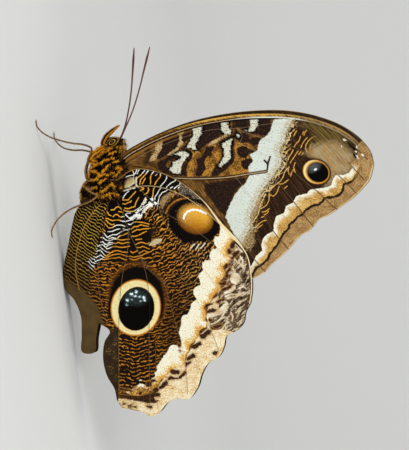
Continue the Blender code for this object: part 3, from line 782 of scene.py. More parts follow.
FORE_LEADING_EDGE = dots(-45,-16, -13,-49, 34,-78, 66,-95, 102,-112, 198,-148, 294,-170, 406,-183, 518,-182,
    614,-163, 694,-130, 749,-88, 778,-48, 787,-10)
FORE_OUTER_EDGE = dots(787,-10, 774,38, 746,72, 710,105, 682,124, 662,139, 637,154, 614,163, 598,183,
    581,201, 560,212, 544,226, 528,246, 509,266, 486,288, 460,310, 445,328, 426,341, 400,355)
FORE_INNER_EDGE = dots(400,355, 378,346, 278,262, 134,144, 22,64, -38,38, -45,-16)
FORE_VEINS = {
    "costa": dots(-26,-26, 38,-63, 102,-101, 198,-139, 294,-161, 406,-174, 518,-173, 614,-154, 694,-120,
        742,-80),
    "radius": dots(-3,-10, 70,-54, 166,-94, 269,-122, 349,-126, 470,-141, 566,-138, 646,-116, 710,-80,
        768,-26),
    "radius_branch": dots(518,-141, 592,-120, 646,-70, 710,-13, 758,40),
    "media_1": dots(349,-125, 432,-96, 502,-77, 566,-51, 614,-22, 662,13, 716,64, 732,82),
    "media_2": dots(358,-77, 406,-58, 470,-26, 525,6, 566,42, 614,80, 656,120, 674,134),
    "media_3": dots(445,11, 486,51, 528,102, 586,176, 600,192),
    "cubitus": dots(-19,13, 70,26, 150,32, 230,34, 326,29, 390,19, 445,11),
    "cell_end": dots(445,11, 458,-26, 406,-58),
    "cell_top": dots(358,-77, 368,-102, 349,-125),
    "cubitus_1": dots(346,29, 390,83, 429,138, 470,205, 506,248, 520,264),
    "cubitus_2": dots(198,34, 253,102, 304,163, 358,230, 426,314, 446,336),
    "anal": dots(-26,30, 70,86, 198,184, 310,274, 376,326),
}
FORE_DARK = [
    dots(91,-26, 98,-46, 107,-69, 125,-92, 160,-103, 201,-117, 203,-105, 194,-92, 171,-69, 160,-62, 140,-53,
        125,-43, 114,-35, 102,-30),
    dots(94,-18, 102,-23, 120,-30, 148,-42, 171,-36, 160,-29, 142,-27, 128,-20, 122,-12, 127,0, 134,20,
        114,14, 98,4),
    dots(160,-64, 185,-63, 201,-58, 210,-46, 205,-30, 194,-15, 188,2, 190,26, 177,25, 174,5, 181,-12,
        194,-29, 200,-45, 191,-54, 171,-58),
    dots(247,-129, 271,-135, 297,-130, 308,-112, 285,-95, 260,-80, 242,-69, 232,-58, 240,-48, 228,-52,
        218,-69, 228,-83, 234,-103),
    dots(252,-66, 271,-71, 282,-69, 271,-55, 268,-35, 257,-40, 245,-20, 251,0, 237,25, 217,26, 225,-6,
        218,-26, 237,-35),
    dots(288,-81, 302,-88, 322,-98, 338,-105, 351,-115, 342,-126, 328,-135, 342,-132, 354,-118, 350,-103,
        337,-95, 314,-83, 300,-75),
    dots(292,-80, 303,-58, 301,-32, 285,-10, 275,5, 268,26, 291,25, 297,15, 314,7, 328,-9, 341,-20, 342,-35,
        338,-58, 344,-80, 340,-98, 334,-75, 330,-55, 334,-35, 325,-19, 311,-10, 301,4, 288,-6, 299,-26,
        306,-35, 307,-58, 297,-75),
    dots(351,-63, 365,-71, 380,-69, 390,-60, 390,-46, 380,-32, 362,-33, 351,-46),
    dots(342,-92, 357,-103, 377,-109, 390,-103, 390,-83, 371,-80, 354,-89),
    dots(331,-138, 357,-142, 390,-135, 390,-123, 371,-126, 348,-129),
    dots(424,-143, 461,-139, 458,-120, 444,-102, 415,-107, 405,-113, 418,-123),
    dots(391,-89, 403,-97, 418,-99, 429,-92, 418,-76, 403,-70, 394,-77),
    dots(385,-58, 400,-58, 411,-52, 397,-47, 386,-51),
    dots(363,-22, 382,-30, 397,-29, 404,-22, 391,-12, 385,7, 372,3, 363,-9),
    dots(706,-112, 721,-104, 738,-87, 724,-92, 706,-101), dots(705,-83, 721,-75, 729,-58, 715,-63, 705,-72),
]
FORE_PATCH = [
    dots(248,50, 300,41, 342,35, 385,30, 375,48, 354,65, 340,85, 334,102, 327,125, 314,154, 297,142,
        277,117, 262,94, 244,71),
]
FORE_WHITE = [
    dots(128,-39, 148,-49, 171,-56, 191,-55, 200,-45, 188,-26, 177,-13, 173,5, 172,22, 140,18, 128,2,
        142,-8, 140,-20, 160,-28, 171,-35, 154,-41),
    dots(201,-118, 246,-130, 248,-120, 234,-103, 229,-89, 221,-78, 219,-69, 224,-57, 211,-55, 200,-62,
        181,-66, 191,-75, 200,-92, 207,-103),
    dots(340,-100, 322,-92, 297,-78, 307,-58, 305,-35, 300,-26, 288,-6, 300,3, 311,-11, 325,-20, 334,-35,
        330,-55, 334,-75), dots(298,-132, 325,-131, 334,-120, 334,-108, 317,-103, 306,-108, 298,-120),
    dots(385,-146, 426,-148, 419,-132, 409,-118, 403,-111, 382,-115, 367,-122, 385,-124, 392,-134),
    dots(346,-116, 360,-106, 376,-109, 362,-98, 348,-96),
]
FORE_STREAKS = [
    dots(185,-109, 171,-105, 155,-95, 165,-85, 154,-75, 162,-70, 142,-58, 123,-41, 132,-40, 148,-47,
        162,-58, 181,-81, 174,-90, 186,-103),
    dots(242,-69, 260,-80, 285,-95, 314,-108, 335,-110, 325,-103, 300,-89, 280,-78, 260,-70),
    dots(118,-93, 123,-87, 111,-64, 101,-46, 93,-30, 83,-22, 66,-18, 71,-32, 83,-52, 95,-72, 105,-89),
]
FORE_ORANGE = [
    dots(200,-58, 224,-58, 237,-46, 234,-35, 222,-26, 224,-12, 217,8, 211,28, 190,27, 188,5, 194,-15,
        207,-35),
    dots(240,-49, 260,-70, 285,-75, 300,-58, 298,-32, 280,-12, 271,8, 265,26, 234,26, 251,0, 245,-20),
    dots(342,-83, 365,-79, 390,-80, 390,17, 342,22, 297,25, 300,17, 317,7, 331,-8, 342,-20, 345,-40),
]
BAND_LEFT = dots(470,-155, 463,-137, 457,-117, 444,-101, 427,-91, 416,-71, 418,-58, 408,-50, 391,-43,
    404,-24, 388,-3, 389,27, 379,49, 363,62, 348,79, 338,95, 326,121, 314,156)
BAND_RIGHT = dots(532,-157, 510,-117, 503,-83, 486,-57, 494,-34, 490,-6, 475,11, 464,29, 449,49, 427,77,
    414,104, 409,122, 395,144, 391,180, 394,191, 382,211, 372,229, 364,260)
CREAM_INNER = dots(760,-96, 734,-71, 738,-52, 731,-28, 715,-15, 719,3, 709,16, 688,23, 666,24, 657,37,
    653,55, 642,61, 611,66, 587,68, 575,82, 541,89, 531,110, 507,122, 502,144, 476,154, 469,177, 468,202,
    449,210, 433,226, 429,248, 432,263, 413,280, 400,306, 370,345)
BLACK_WAVE = dots(746,-10, 736,16, 721,40, 709,46, 691,52, 687,73, 678,85, 662,91, 630,94, 624,106, 611,115,
    586,123, 570,133, 560,147, 544,155, 531,171, 518,179, 516,192, 499,207, 490,224, 480,243, 467,259,
    454,275, 448,291, 429,307, 413,317, 404,330, 394,352)
APEX_TAN = [
    dots(571,-46, 587,-64, 611,-74, 636,-83, 666,-83, 691,-68, 721,-46, 732,-28, 715,-15, 719,3, 709,16,
        688,23, 666,24, 657,37, 651,55, 633,58, 646,18, 636,-6, 614,-22, 593,-31),
]
# Outline of a painted reflection: green light from the surroundings showing at the top of the apex.
PAINTED_REFLECTION = dots(566,-156, 610,-144, 660,-122, 700,-96, 728,-70, 700,-66, 666,-83, 636,-83, 611,-74,
    586,-72, 596,-104, 580,-124, 556,-132)
FORE_LINES = [
    dots(522,-109, 520,-96, 512,-83, 507,-74), dots(542,-118, 536,-109, 533,-101),
    dots(554,-101, 550,-86, 541,-78, 534,-67), dots(565,-115, 560,-106), dots(574,-120, 568,-112, 565,-104),
    dots(576,-96, 570,-90, 562,-80, 555,-64), dots(605,-102, 592,-96, 579,-86, 571,-72, 570,-59, 576,-52),
    dots(624,-89, 610,-78, 598,-70), dots(588,-75, 584,-64, 586,-52), dots(536,-16, 532,-2, 537,15),
    dots(516,0, 514,9, 518,21), dots(504,-70, 501,-59, 496,-48, 486,-35),
    dots(522,-61, 512,-54, 507,-45, 504,-35), dots(531,-58, 525,-45, 517,-35, 514,-26),
    dots(547,-54, 541,-46, 534,-35, 525,-22, 522,-16), dots(555,-51, 549,-43), dots(563,-48, 557,-40),
    dots(496,-42, 490,-29, 496,-22, 506,-14), dots(506,-16, 499,0, 490,11, 480,22, 474,32),
    dots(518,-3, 509,5, 502,16, 499,27, 490,42, 483,48, 474,54, 464,62, 458,72, 445,75, 435,77),
    dots(531,5, 525,16, 522,27), dots(515,38, 506,45, 496,51, 486,51), dots(512,58, 502,66),
    dots(464,58, 454,70, 438,77, 429,91, 419,102), dots(486,58, 482,70, 477,82, 467,90, 458,86),
    dots(454,80, 454,102, 446,118, 435,126, 424,131),
    dots(442,83, 435,99, 427,115, 422,134, 418,150, 410,160, 403,170, 397,179),
    dots(429,141, 442,139, 454,130), dots(438,150, 448,144, 451,138), dots(429,157, 438,155),
    dots(397,192, 413,189, 419,179, 432,170, 445,166), dots(416,192, 432,181),
]
FORE_DUST = [
    dots(429,64, 416,99, 397,141, 390,173, 394,205, 374,221, 358,240, 371,256, 394,266, 410,237, 406,202,
        403,173, 422,131, 435,86),
    dots(490,-90, 499,-90, 496,-67, 490,-42, 483,-16, 477,-6, 477,-32, 483,-64),
]
APEX_DARK = [
    dots(702,-112, 714,-109, 730,-93, 734,-82, 720,-88, 707,-101),
    dots(701,-86, 710,-82, 726,-74, 731,-61, 726,-54, 717,-64, 704,-77),
    dots(720,-51, 730,-42, 734,-29, 726,-30, 722,-42),
]
APEX_LIGHT = [
    dots(690,-115, 694,-117, 704,-107, 702,-102, 696,-106), dots(686,-93, 694,-93, 704,-86, 693,-85),
    dots(682,-62, 683,-70, 688,-72, 686,-64), dots(726,-54, 736,-53, 734,-48, 728,-50),
    dots(731,-70, 736,-70, 736,-59, 732,-61), dots(746,-45, 755,-43, 758,-35, 750,-37),
    dots(730,-42, 736,-38, 742,-26, 736,-29), dots(659,-42, 650,-34, 646,-26, 648,-18, 645,-26, 648,-34),
]
EDGE_STEP, VEIN_STEP, LEADING_STEP = 0.5, 0.8, 0.6
PLEAT, SAG, VEIN_HALF = 0.10, 0.12, 0.4
SCALE_SIZE = 0.16
NO_LINE = [np.array([(-99.0, 0.0), (-99.0, 1.0)])]
FORE_FORK = [
    dots(448,6, 450,-14, 457,-36), dots(450,-12, 439,-24),
]
FORE_EYE = (60.95, 1.4, 3.5, 3.1, 0.45)
FORE_RING = (60.4, 1.3, 4.4, 3.75, 0.45)
FORE_SHEEN = (59.6, -0.2, 2.0, 1.3, -0.5)
FORE_GLINT = (60.2, 0.5, 0.62, 0.34, -0.5)


def off_lines(spots, lines):
    """Distance from each spot to the nearest of several lines."""
    return np.min([nearest(spots, np.array(line, dtype=float))[1] for line in lines], axis=0)


def steps_to(spots, lines):
    """The step from each spot to the nearest of several lines, and as third number its length."""
    steps = np.full((len(spots), 3), np.inf)
    for line in lines:
        found, gap = nearest(spots, np.array(line, dtype=float))
        closer = gap < steps[:, 2]
        steps[closer] = np.column_stack([found - spots, gap])[closer]
    return steps


def note_lines(mesh, name, spots, lines):
    """Notes the steps to close lines in separate sets, as a step is exact only far from other lines."""
    sets = [[] for k in range(LINE_SETS)]
    for line in lines:
        here = np.array(line, dtype=float)
        room = [min([nearest(here, other)[1].min() for other in chosen], default=99.0) for chosen in sets]
        clear = [k for k, gap in enumerate(room) if gap > CLEAR_OF]
        sets[clear[0] if clear else int(np.argmax(room))].append(here)
    for k, chosen in enumerate(sets):
        note(mesh, **{f"{name}_{k}": steps_to(spots, chosen or NO_LINE)})


def depth(spots, outline):
    """Distance of each spot from a closed outline, above zero inside it."""
    line = np.array(list(outline) + [outline[0]], dtype=float)
    within = np.zeros(len(spots), dtype=bool)
    out, back = spots.T
    for (ax, ay), (bx, by) in zip(line[:-1], line[1:]):
        if ay != by:
            crosses = (ay > back) != (by > back)
            within ^= crosses & (out < (bx - ax) * (back - ay) / (by - ay) + ax)
    return np.where(within, 1.0, -1.0) * nearest(spots, line)[1]


def depth_of(spots, outlines):
    """The same for spots in any of several outlines."""
    return np.max([depth(spots, outline) for outline in outlines], axis=0)


def oval(spots, place):
    """Distance in millimetres inside an oval given by its middle, half axes and turn."""
    out, back, long, wide, turn = place
    x, y = spots[:, 0] - out, spots[:, 1] - back
    u = (x * math.cos(turn) + y * math.sin(turn)) / long
    v = (y * math.cos(turn) - x * math.sin(turn)) / wide
    return (1.0 - np.hypot(u, v)) * (long + wide) / 2


def wing_sheet(outline):
    """A flat sheet with two faces, cut to an outline. Its third coordinate is 1 on the under face."""
    line = np.array(outline + [outline[0]])
    low, high = line.min(0), line.max(0)
    middle, half = (low + high) / 2, (high - low) / 2 + CELL
    form = bmesh.new()
    across, down = (round(2 * reach / CELL) for reach in half)
    bmesh.ops.create_grid(form, x_segments=across, y_segments=down, size=1.0)
    bmesh.ops.scale(form, verts=form.verts, vec=(half[0], half[1], 1.0))
    bmesh.ops.translate(form, verts=form.verts, vec=(middle[0], middle[1], 0.0))
    spots = np.array([vertex.co[:2] for vertex in form.verts])
    inside = depth(spots, outline)
    outer = [vertex for vertex, reach in zip(form.verts, inside) if reach < -0.6 * CELL]
    bmesh.ops.delete(form, geom=outer, context="VERTS")
    loose = [vertex for vertex in form.verts if not vertex.link_faces]
    bmesh.ops.delete(form, geom=loose, context="VERTS")
    pinched = [v for v in form.verts if len(v.link_faces) == 2 and len(v.link_edges) == 4]
    corners = list({vertex.link_faces[0] for vertex in pinched})
    bmesh.ops.delete(form, geom=corners, context="FACES")
    loose = [vertex for vertex in form.verts if not vertex.link_faces]
    bmesh.ops.delete(form, geom=loose, context="VERTS")
    rim = [vertex for vertex in form.verts if vertex.is_boundary]
    on_edge, _ = nearest(np.array([vertex.co[:2] for vertex in rim]), line)
    for vertex, place in zip(rim, on_edge):
        vertex.co.xy = place
    second = list({e.other_vert(v) for v in rim for e in v.link_edges if not e.other_vert(v).is_boundary})
    bmesh.ops.smooth_vert(form, verts=second, factor=0.5, use_axis_x=True, use_axis_y=True)
    bmesh.ops.dissolve_degenerate(form, dist=0.01, edges=form.edges)
    raised = bmesh.ops.extrude_face_region(form, geom=form.faces[:], use_keep_orig=True)
    lifted = [item for item in raised["geom"] if isinstance(item, bmesh.types.BMVert)]
    bmesh.ops.translate(form, verts=lifted, vec=(0.0, 0.0, 1.0))
    bmesh.ops.recalc_face_normals(form, faces=form.faces)
    return mesh_of(form, "wing_sheet")


def wing_to_world(out, back):
    x = ROOT_X + out * math.sin(LEAN) + back * math.cos(LEAN)
    z = ROOT_Z + out * math.cos(LEAN) - back * math.sin(LEAN)
    return x, z


def body_lift(x, z):
    """Height of a place over the body's axis."""
    return (x - THORAX_X) * math.sin(BODY_PITCH) + (z - THORAX_Z) * math.cos(BODY_PITCH)


def fore_layer(out, back):
    """Distance of the forewing's middle surface from the insect's middle plane."""
    lift = np.maximum(body_lift(*wing_to_world(out, back)), 0.0)
    flare = EDGE_FLARE * np.maximum(0.0, (out - 44.0) / 35.0) ** 2
    return FORE_LAYER + BODY_BULGE * np.exp(-(lift / BULGE_ABOVE) ** 2) + flare


def hang_wing(name, sheet, side, layer, off_vein, off_edge, scales):
    """One wing in its place: the sheet bent to its layer, its veins raised on both faces."""
    mesh = sheet.copy()
    mesh.name = name
    out, back, under = points_of(sheet).T
    half = RIM / 2 + (MEMBRANE - RIM / 2) * np.clip(off_edge / 1.5, 0.0, 1.0)
    ridge = RIDGE * np.exp(-(off_vein / VEIN_HALF) ** 2) * (1.0 - out / 160.0)
    half += ridge * np.clip(off_edge / 2.0, 0.2, 1.0)
    pleat = PLEAT * np.sin(out * 0.42 + back * 0.31) * np.sin(out * 0.13 - back * 0.37 + 1.0)
    sag = SAG * (1.0 - np.exp(-off_vein / 2.5)) * np.sin(out * 0.2 + back * 0.45)
    away = layer(out, back) + pleat + sag + (2.0 * under - 1.0) * half
    x, z = wing_to_world(out, back)
    place = np.stack([x, side * away, np.maximum(z, 0.0)], axis=1) * MM
    mesh.vertices.foreach_set("co", place.ravel())
    if side < 0:
        mesh.flip_normals()
    mesh.update()
    mesh.shade_smooth()
    return add_piece(name, mesh, scales)


def flow_of(spots, root):
    """Distance from a root, and place round it in millimetres, at each spot of a wing."""
    out, back = (spots - np.array(root)).T
    across = np.hypot(out, back)
    return np.stack([across, np.arctan2(out, back) * (8.0 + across * 0.7), np.zeros(len(out))], axis=1)


def wing_grain(paint, broad):
    """The place on a wing, and broad, ragged and fine noise there."""
    at = paint.given("place", "Vector")
    jag = paint.grain(at, 0.9) * 0.9 + paint.grain(at, 0.3) * 0.5
    return at, paint.grain(at, broad), jag, paint.grain(at, 0.45, 3.0)


def lay_scales(paint, shader, colour, at, height):
    """Feeds the colour, and the bump of the scales and veins, to a wing's shader."""
    tiles = paint.node("ShaderNodeTexVoronoi", {"feature": "F1"}, {"Vector": at, "Scale": 1.0 / SCALE_SIZE})
    relief = height + tiles * 0.035 + paint.grain(at, 0.5) * 0.05
    paint.dress(shader, colour, relief)


def laid_out(edges, veins):
    """A wing's outline, sheet and spots, and each spot's way to leading edge, veins and rim."""
    outline = [tuple(point) for edge in edges for point in smooth_line(edge, EDGE_STEP)[:-1]]
    sheet = wing_sheet(outline)
    spots = points_of(sheet)[:, :2]
    vein_lines = [smooth_line(points, VEIN_STEP) for points in veins.values()]
    leading = nearest(spots, smooth_line(edges[0], LEADING_STEP))[1]
    note(sheet, place=np.column_stack([spots, np.zeros(len(spots))]), back=spots[:, 1],
         under=points_of(sheet)[:, 2], veins=steps_to(spots, vein_lines))
    return outline, sheet, spots, leading, off_lines(spots, vein_lines), depth(spots, outline)


DARK = (40, 25, 15)


def forewing_scales():
    """The under side's marbled cell, pale band, small eyespot and cream border."""
    material, shader, paint = new_material("forewing_scales", 0.6, 0.02)
    at, wide, jag, fleck = wing_grain(paint, 2.6)
    rays = paint.stretched(paint.given("flow", "Vector"), 0.14, 1.0)
    streaky = paint.grain(rays, 0.6, 2.0)
    rib = paint["rib"] + jag * 0.12
    vein = paint.off_line("veins")
    past = paint["past"]
    cream = paint["cream"]
    wave = paint["wave"]
    out = paint["out"]

    colour = paint.blend((140, 98, 40), (66, 44, 20), streaky * 1.6 + wide + 0.1, 0.5)
    colour = colour.lay((46, 30, 19), paint["smear"] + jag * 1.4, 1.0, 0.9)
    orange = paint.blend((178, 126, 48), (92, 60, 26), fleck + wide * 0.8 + 0.02, 0.2)
    colour = colour.lay(orange, paint["orange"] + jag * 0.5)
    dark = paint.blend((32, 21, 16), (78, 53, 38), fleck + jag * 0.2 - 0.14, 0.2)
    colour = colour.lay(dark, paint["dark"] + jag * 0.6)
    white = paint["white"] - 0.3 + jag * 1.1 + fleck * 1.2
    colour = colour.lay(BLACK, white + 0.6)
    pale = paint.blend((206, 205, 186), (110, 96, 72), fleck + wide * 0.2 - 0.1)
    colour = colour.lay(pale, white)
    streak = paint.blend((186, 158, 110), (104, 74, 42), fleck + wide * 0.5 - 0.04)
    colour = colour.lay(streak, paint["streak"] - 0.15 + jag * 1.1)
    colour = colour.lay(dark, paint["patch"] + jag * 0.7, 0.7)

    field = paint.blend((36, 23, 15), (72, 48, 28), streaky + fleck * 0.6 - 0.08, 0.2)
    gold = paint.blend((220, 196, 140), (208, 156, 70), past - 2.0 + wide * 3.0, 2.0)
    turn = past * 0.85 + paint.grain(at, 1.7, 1.0) * 3.2
    ripple = turn.math("ABSOLUTE", turn.math("FRACT", turn) - 0.5)
    ripple = paint.within(0.14 + fleck * 0.5 - ripple, 0.14) * paint.within(1.9 - past + wide * 3.0, 1.2)
    lines = paint.within(0.13 - paint.off_set("line") + jag * 0.3 + fleck * 0.2, 0.12)
    field = paint.mix(field, gold, lines.math("MAXIMUM", lines, ripple))
    colour = colour.lay(field, past + jag * 1.2)
    # Painted reflection: an olive-green field at the top of the apex, where green light from the surroundings
    # shows on the wing.
    reflected_green = paint.blend((112, 92, 44), (52, 40, 22), streaky * 1.4 + 0.02, 0.3)
    colour = colour.lay(reflected_green, paint["upper_field"] + jag * 2.0, 2.4)
    dust = paint.blend((186, 160, 112), (88, 64, 38), fleck)
    dusty = paint.within(paint["dust"] + jag * 2.0 + fleck * 3.0, 0.5) * (1.0 - lines)
    colour = paint.mix(colour, dust, dusty * 0.85)
    tan = paint.blend((160, 122, 62), (162, 150, 120), wide * 1.4 + fleck * 1.4, 1.0)
    tan = tan.lay((112, 78, 34), streaky + fleck * 0.5 - 0.1, 0.2, 0.8)
    colour = colour.lay(tan, paint["apex"] + jag * 2.4, 2.4)
    band = paint.blend((204, 210, 200), (150, 152, 136), fleck + jag * 0.2 - 0.13)
    colour = colour.lay(band, paint["band"] + jag)
    fringe = paint.within(0.8 - past) * paint.within(past + 1.6 + jag * 3.0, 1.2)
    fringe = fringe * paint.within(fleck + 0.02, 0.1)
    colour = paint.mix(colour, (168, 148, 108), fringe * 0.8)
    colour = colour.lay(DARK, 0.3 - paint.off_line("mark") + jag * 0.2, 0.12)

    gold = paint.blend((206, 170, 100), (168, 124, 60), fleck + wide * 0.8, 0.25)
    border = paint.blend((224, 220, 198), gold, cream - 1.1 + jag * 2.0 + wide * 3.0, 1.1)
    specks = paint.within(fleck - 0.13, 0.12) * paint.within(cream - 1.4, 1.0)
    border = paint.mix(border, (140, 96, 42), specks * 0.8)
    margin = paint.blend((174, 140, 90), (128, 96, 56), wide + fleck * 1.6 + jag * 0.3, 0.4)
    border = paint.blend(margin, border, paint["back"] + 0.4 + jag * 2.0, 2.0)
    colour = colour.lay(border, cream + jag * 0.6, 0.12)
    colour = colour.lay(margin, wave + jag * 0.4)
    line = wave.math("ABSOLUTE", wave + jag * 0.6 - 0.1)
    thick = 0.4 + paint.grain(at, 1.6) * 0.7
    wavy = paint.within(thick - line) * paint.within(paint["waved"], 4.0)
    colour = paint.mix(colour, (44, 29, 18), wavy)
    rim = paint.within(0.3 - paint.off_line("rim") + jag * 0.3) * paint.within(wave)
    colour = paint.mix(colour, (212, 186, 136), rim * 0.8)
    crossing = paint.within(0.15 - vein, 0.14) * paint.within(cream)
    colour = paint.mix(colour, (82, 54, 28), crossing)
    colour = colour.lay((26, 18, 14), paint["apex_dark"] + jag * 0.6, 0.4)
    colour = colour.lay((226, 222, 204), paint["apex_light"] + jag * 0.3, 0.2)

    ring = paint["ring"] + jag * 0.12
    pupil = paint["pupil"] + jag * 0.1
    colour = colour.lay((40, 26, 16), ring + 0.5, 0.5)
    colour = colour.lay((186, 124, 40), ring)
    colour = paint.mix(colour, (224, 206, 146), paint.within(ring - 0.2) * paint.within(-0.45 - pupil, 0.3))
    colour = colour.lay((6, 5, 5), pupil)
    sheen = paint.within(paint["sheen"] + jag, 1.6) * paint.within(pupil)
    colour = paint.mix(colour, (84, 88, 86), sheen * 0.8)
    colour = colour.lay((232, 238, 238), paint["glint"] + jag * 0.2, 0.25)

    cell = paint.off_line("cell")
    colour = colour.lay(DARK, 0.5 - cell)
    colour = colour.lay((186, 158, 116), 0.13 - cell + jag * 0.1)
    thread = paint.within(0.07 - vein, 0.14) * paint.within(0.2 - cream)
    threads = paint.blend((168, 140, 112), (112, 84, 58), past)
    colour = paint.mix(colour, threads, thread * (0.35 + paint.within(past) * 0.35))

    costal = paint.mix(colour, (20, 13, 10), paint.within(4.0 - rib, 0.2) * paint.within(48.0 - out, 2.0))
    near_root = paint.within(18.0 - out, 12.0)
    brass = paint.within(0.35 - rib.math("ABSOLUTE", rib - 4.4), 0.2) * near_root
    costal = paint.mix(costal, (132, 90, 34), brass * 0.8)
    ivory = paint.blend((178, 146, 110), (120, 90, 60), fleck - 0.06, 0.12)
    ivory = ivory.lay((206, 206, 190), out - 36.0, 10.0)
    ivory = ivory.lay((140, 124, 90), out - 56.0, 4.0)
    costal = costal.lay(ivory, 3.0 - rib, 0.2)
    costal = paint.mix(costal, (22, 15, 10), paint.within(2.5 - rib, 0.15) * paint.within(38.0 - out, 8.0))
    gilt = paint.within(streaky + fleck * 0.7 + (rib - 1.6) * 0.4 + near_root * 0.16, 0.25)
    bright = paint.blend((206, 158, 72), (158, 124, 74), out - 50.0, 16.0)
    bright = paint.mix(bright, (164, 118, 44), near_root)
    gilt = paint.mix(bright, (78, 54, 24), gilt)
    costal = costal.lay(gilt, 2.0 - rib, 0.3)
    sooty = paint.blend((34, 23, 16), (92, 66, 38), streaky + fleck * 0.6 - 0.14, 0.2)
    costal = costal.lay(sooty, 1.0 - rib, 0.25)
    costal = costal.lay((120, 96, 56), 0.16 - rib, 0.12)
    colour = colour.lay(costal, 74.0 - out + jag * 3.0, 6.0)

    upper = paint.blend((44, 28, 22), (54, 50, 92), 30.0 - out, 30.0, 0.6)
    colour = paint.mix(upper, colour, paint["under"])
    lay_scales(paint, shader, colour, at, paint.within(0.3 - vein, 0.5) * 0.1)
    return material


fore_edges = (FORE_LEADING_EDGE, FORE_OUTER_EDGE, FORE_INNER_EDGE)
fore_outline, fore_sheet, spots, leading, off_vein, off_edge = laid_out(fore_edges, FORE_VEINS)
out, back = spots.T
outward = np.clip((out - 8.0) / 38.0, 0.0, 1.0)
rib = np.zeros(len(out))
RIB_NEAR = [0.0, 0.35, 1.1, 1.8, 2.15]
RIB_FAR = [0.0, 1.25, 2.2, 2.5, 3.0]
for inner_near, outer_near, inner_far, outer_far in zip(RIB_NEAR, RIB_NEAR[1:], RIB_FAR, RIB_FAR[1:]):
    start = inner_near + (inner_far - inner_near) * outward
    end = outer_near + (outer_far - outer_near) * outward
    rib += np.clip((leading - start) / (end - start), 0.0, 1.0)
rib += np.clip(leading - end, 0.0, 9.0)
under_rib = spots + np.clip(4.6 - leading, 0.0, 1.7)[:, None] * (0.0, 1.0)
beyond_band = depth(spots, BAND_RIGHT + [(30, 60), (120, 60), (120, -40), (60, -40)])
note_lines(fore_sheet, "line", spots, FORE_LINES)
note(fore_sheet,
     flow=flow_of(spots, FLOW_ROOT), out=out,
     cell=steps_to(spots, [smooth_line(FORE_VEINS["cubitus"], VEIN_STEP)]),
     rim=steps_to(spots, [FORE_OUTER_EDGE]), rib=rib,
     smear=1.0 - off_lines(spots, [[(6.0, -6.8), (6.9, -4.0), (5.8, -1.8)]]),
     orange=depth_of(under_rib, FORE_ORANGE), dark=depth_of(under_rib, FORE_DARK),
     white=depth_of(under_rib, FORE_WHITE), streak=depth_of(under_rib, FORE_STREAKS),
     patch=depth_of(under_rib, FORE_PATCH), past=beyond_band, dust=depth_of(spots, FORE_DUST),
     apex=depth_of(spots, APEX_TAN), apex_dark=depth_of(spots, APEX_DARK),
     apex_light=depth_of(spots, APEX_LIGHT), upper_field=depth(spots, PAINTED_REFLECTION),
     band=depth(spots, BAND_LEFT + BAND_RIGHT[::-1]), mark=steps_to(spots, FORE_FORK),
     cream=depth(spots, CREAM_INNER + [(30, 60), (120, 60), (120, -40)]),
     wave=depth(spots, BLACK_WAVE + [(30, 60), (120, 60), (120, -10)]), waved=73.5 - out,
     ring=oval(spots, FORE_RING), pupil=oval(spots, FORE_EYE), sheen=oval(spots, FORE_SHEEN),
     glint=oval(spots, FORE_GLINT))
fore_scales = forewing_scales()
for side_name, side in SIDES.items():
    name = "forewing_skin_" + side_name
    forewing = hang_wing(name, fore_sheet, side, fore_layer, off_vein, off_edge, fore_scales)
    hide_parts("forewing_" + side_name)

# Hindwings: rounder membranes that lie outside the forewings and fold round the abdomen. Their
# under side carries the two false eyes, on a ground of thin wavy stripes that run round the root.
HIND_LAYER = 1.9
BULGE_BELOW = 4.6
GUTTER_CURL = 1.1
STRIPE_ROOT = np.array([-4.6, 6.7])
FOLD_SLOPE = 0.7
FAR_STRIPE = 1.05
LOW_STRIPE = 1.22

HIND_LEADING_EDGE = dots(-68,36, -26,34, 0,13, 29,2, 70,5, 112,16, 154,34, 198,64, 246,106, 301,173,
    362,240, 387,282, 397,333, 400,390, 394,432)
HIND_OUTER_EDGE = dots(394,432, 378,464, 374,490, 352,518, 317,538, 310,570, 294,602, 259,624, 240,656,
    224,704, 195,739, 154,738, 128,752, 102,782, 77,795, 51,782, 16,774, -19,765, -35,742)
HIND_LOBE_EDGE = dots(-35,742, -42,710, -67,666, -80,598, -74,554, -58,525, -93,496)
HIND_FOLD_EDGE = dots(-93,496, -102,544, -109,592, -144,592, -147,534, -150,474, -173,419, -201,387,
    -207.5,369, -210.5,346, -207,310, -195,256, -186,205, -173,147)
HIND_BODY_EDGE = dots(-173,147, -157,122, -122,109, -83,99, -86,66, -68,36)
HIND_VEINS = {
    "humeral": dots(25,34, 26,59),
    "costa": dots(-54,64, 0,63, 38,58, 86,58, 134,69, 182,90, 230,122, 289,172, 335,220),
    "radius": dots(32,59, 70,96, 102,131, 150,160, 198,186, 256,227, 310,275, 358,336, 390,396),
    "media_1": dots(102,131, 118,173, 147,211, 182,246, 221,291, 259,339, 301,394, 330,438, 360,496),
    "media_2": dots(118,366, 157,339, 198,384, 240,451, 266,512, 294,582),
    "media_3": dots(118,366, 141,448, 160,518, 179,582, 189,646, 194,722),
    "stem": dots(-54,64, -16,141, 6,205, 32,262, 70,326, 118,366),
    "cubitus_1": dots(32,262, 58,333, 69,422, 69,534, 70,646, 74,778),
    "cubitus_2": dots(3,192, 0,262, -16,342, -26,438, -29,566, -27,736),
    "anal_2": dots(-56,93, -67,150, -77,214, -90,301, -93,374, -83,438, -66,502),
    "anal_3": dots(-72,104, -102,134, -134,182, -157,246, -166,320, -154,390),
}
DRAWN_AREA = dots(-35,-19, 198,-19, 179,51, 141,74, 112,93, 99,114, 82,126, 62,140, 52,150, 56,163, 80,179,
    77,230, 80,298, 0,304, -58,298, -99,302, -96,262, -93,230, -80,192, -70,141, -64,115, -35,90)
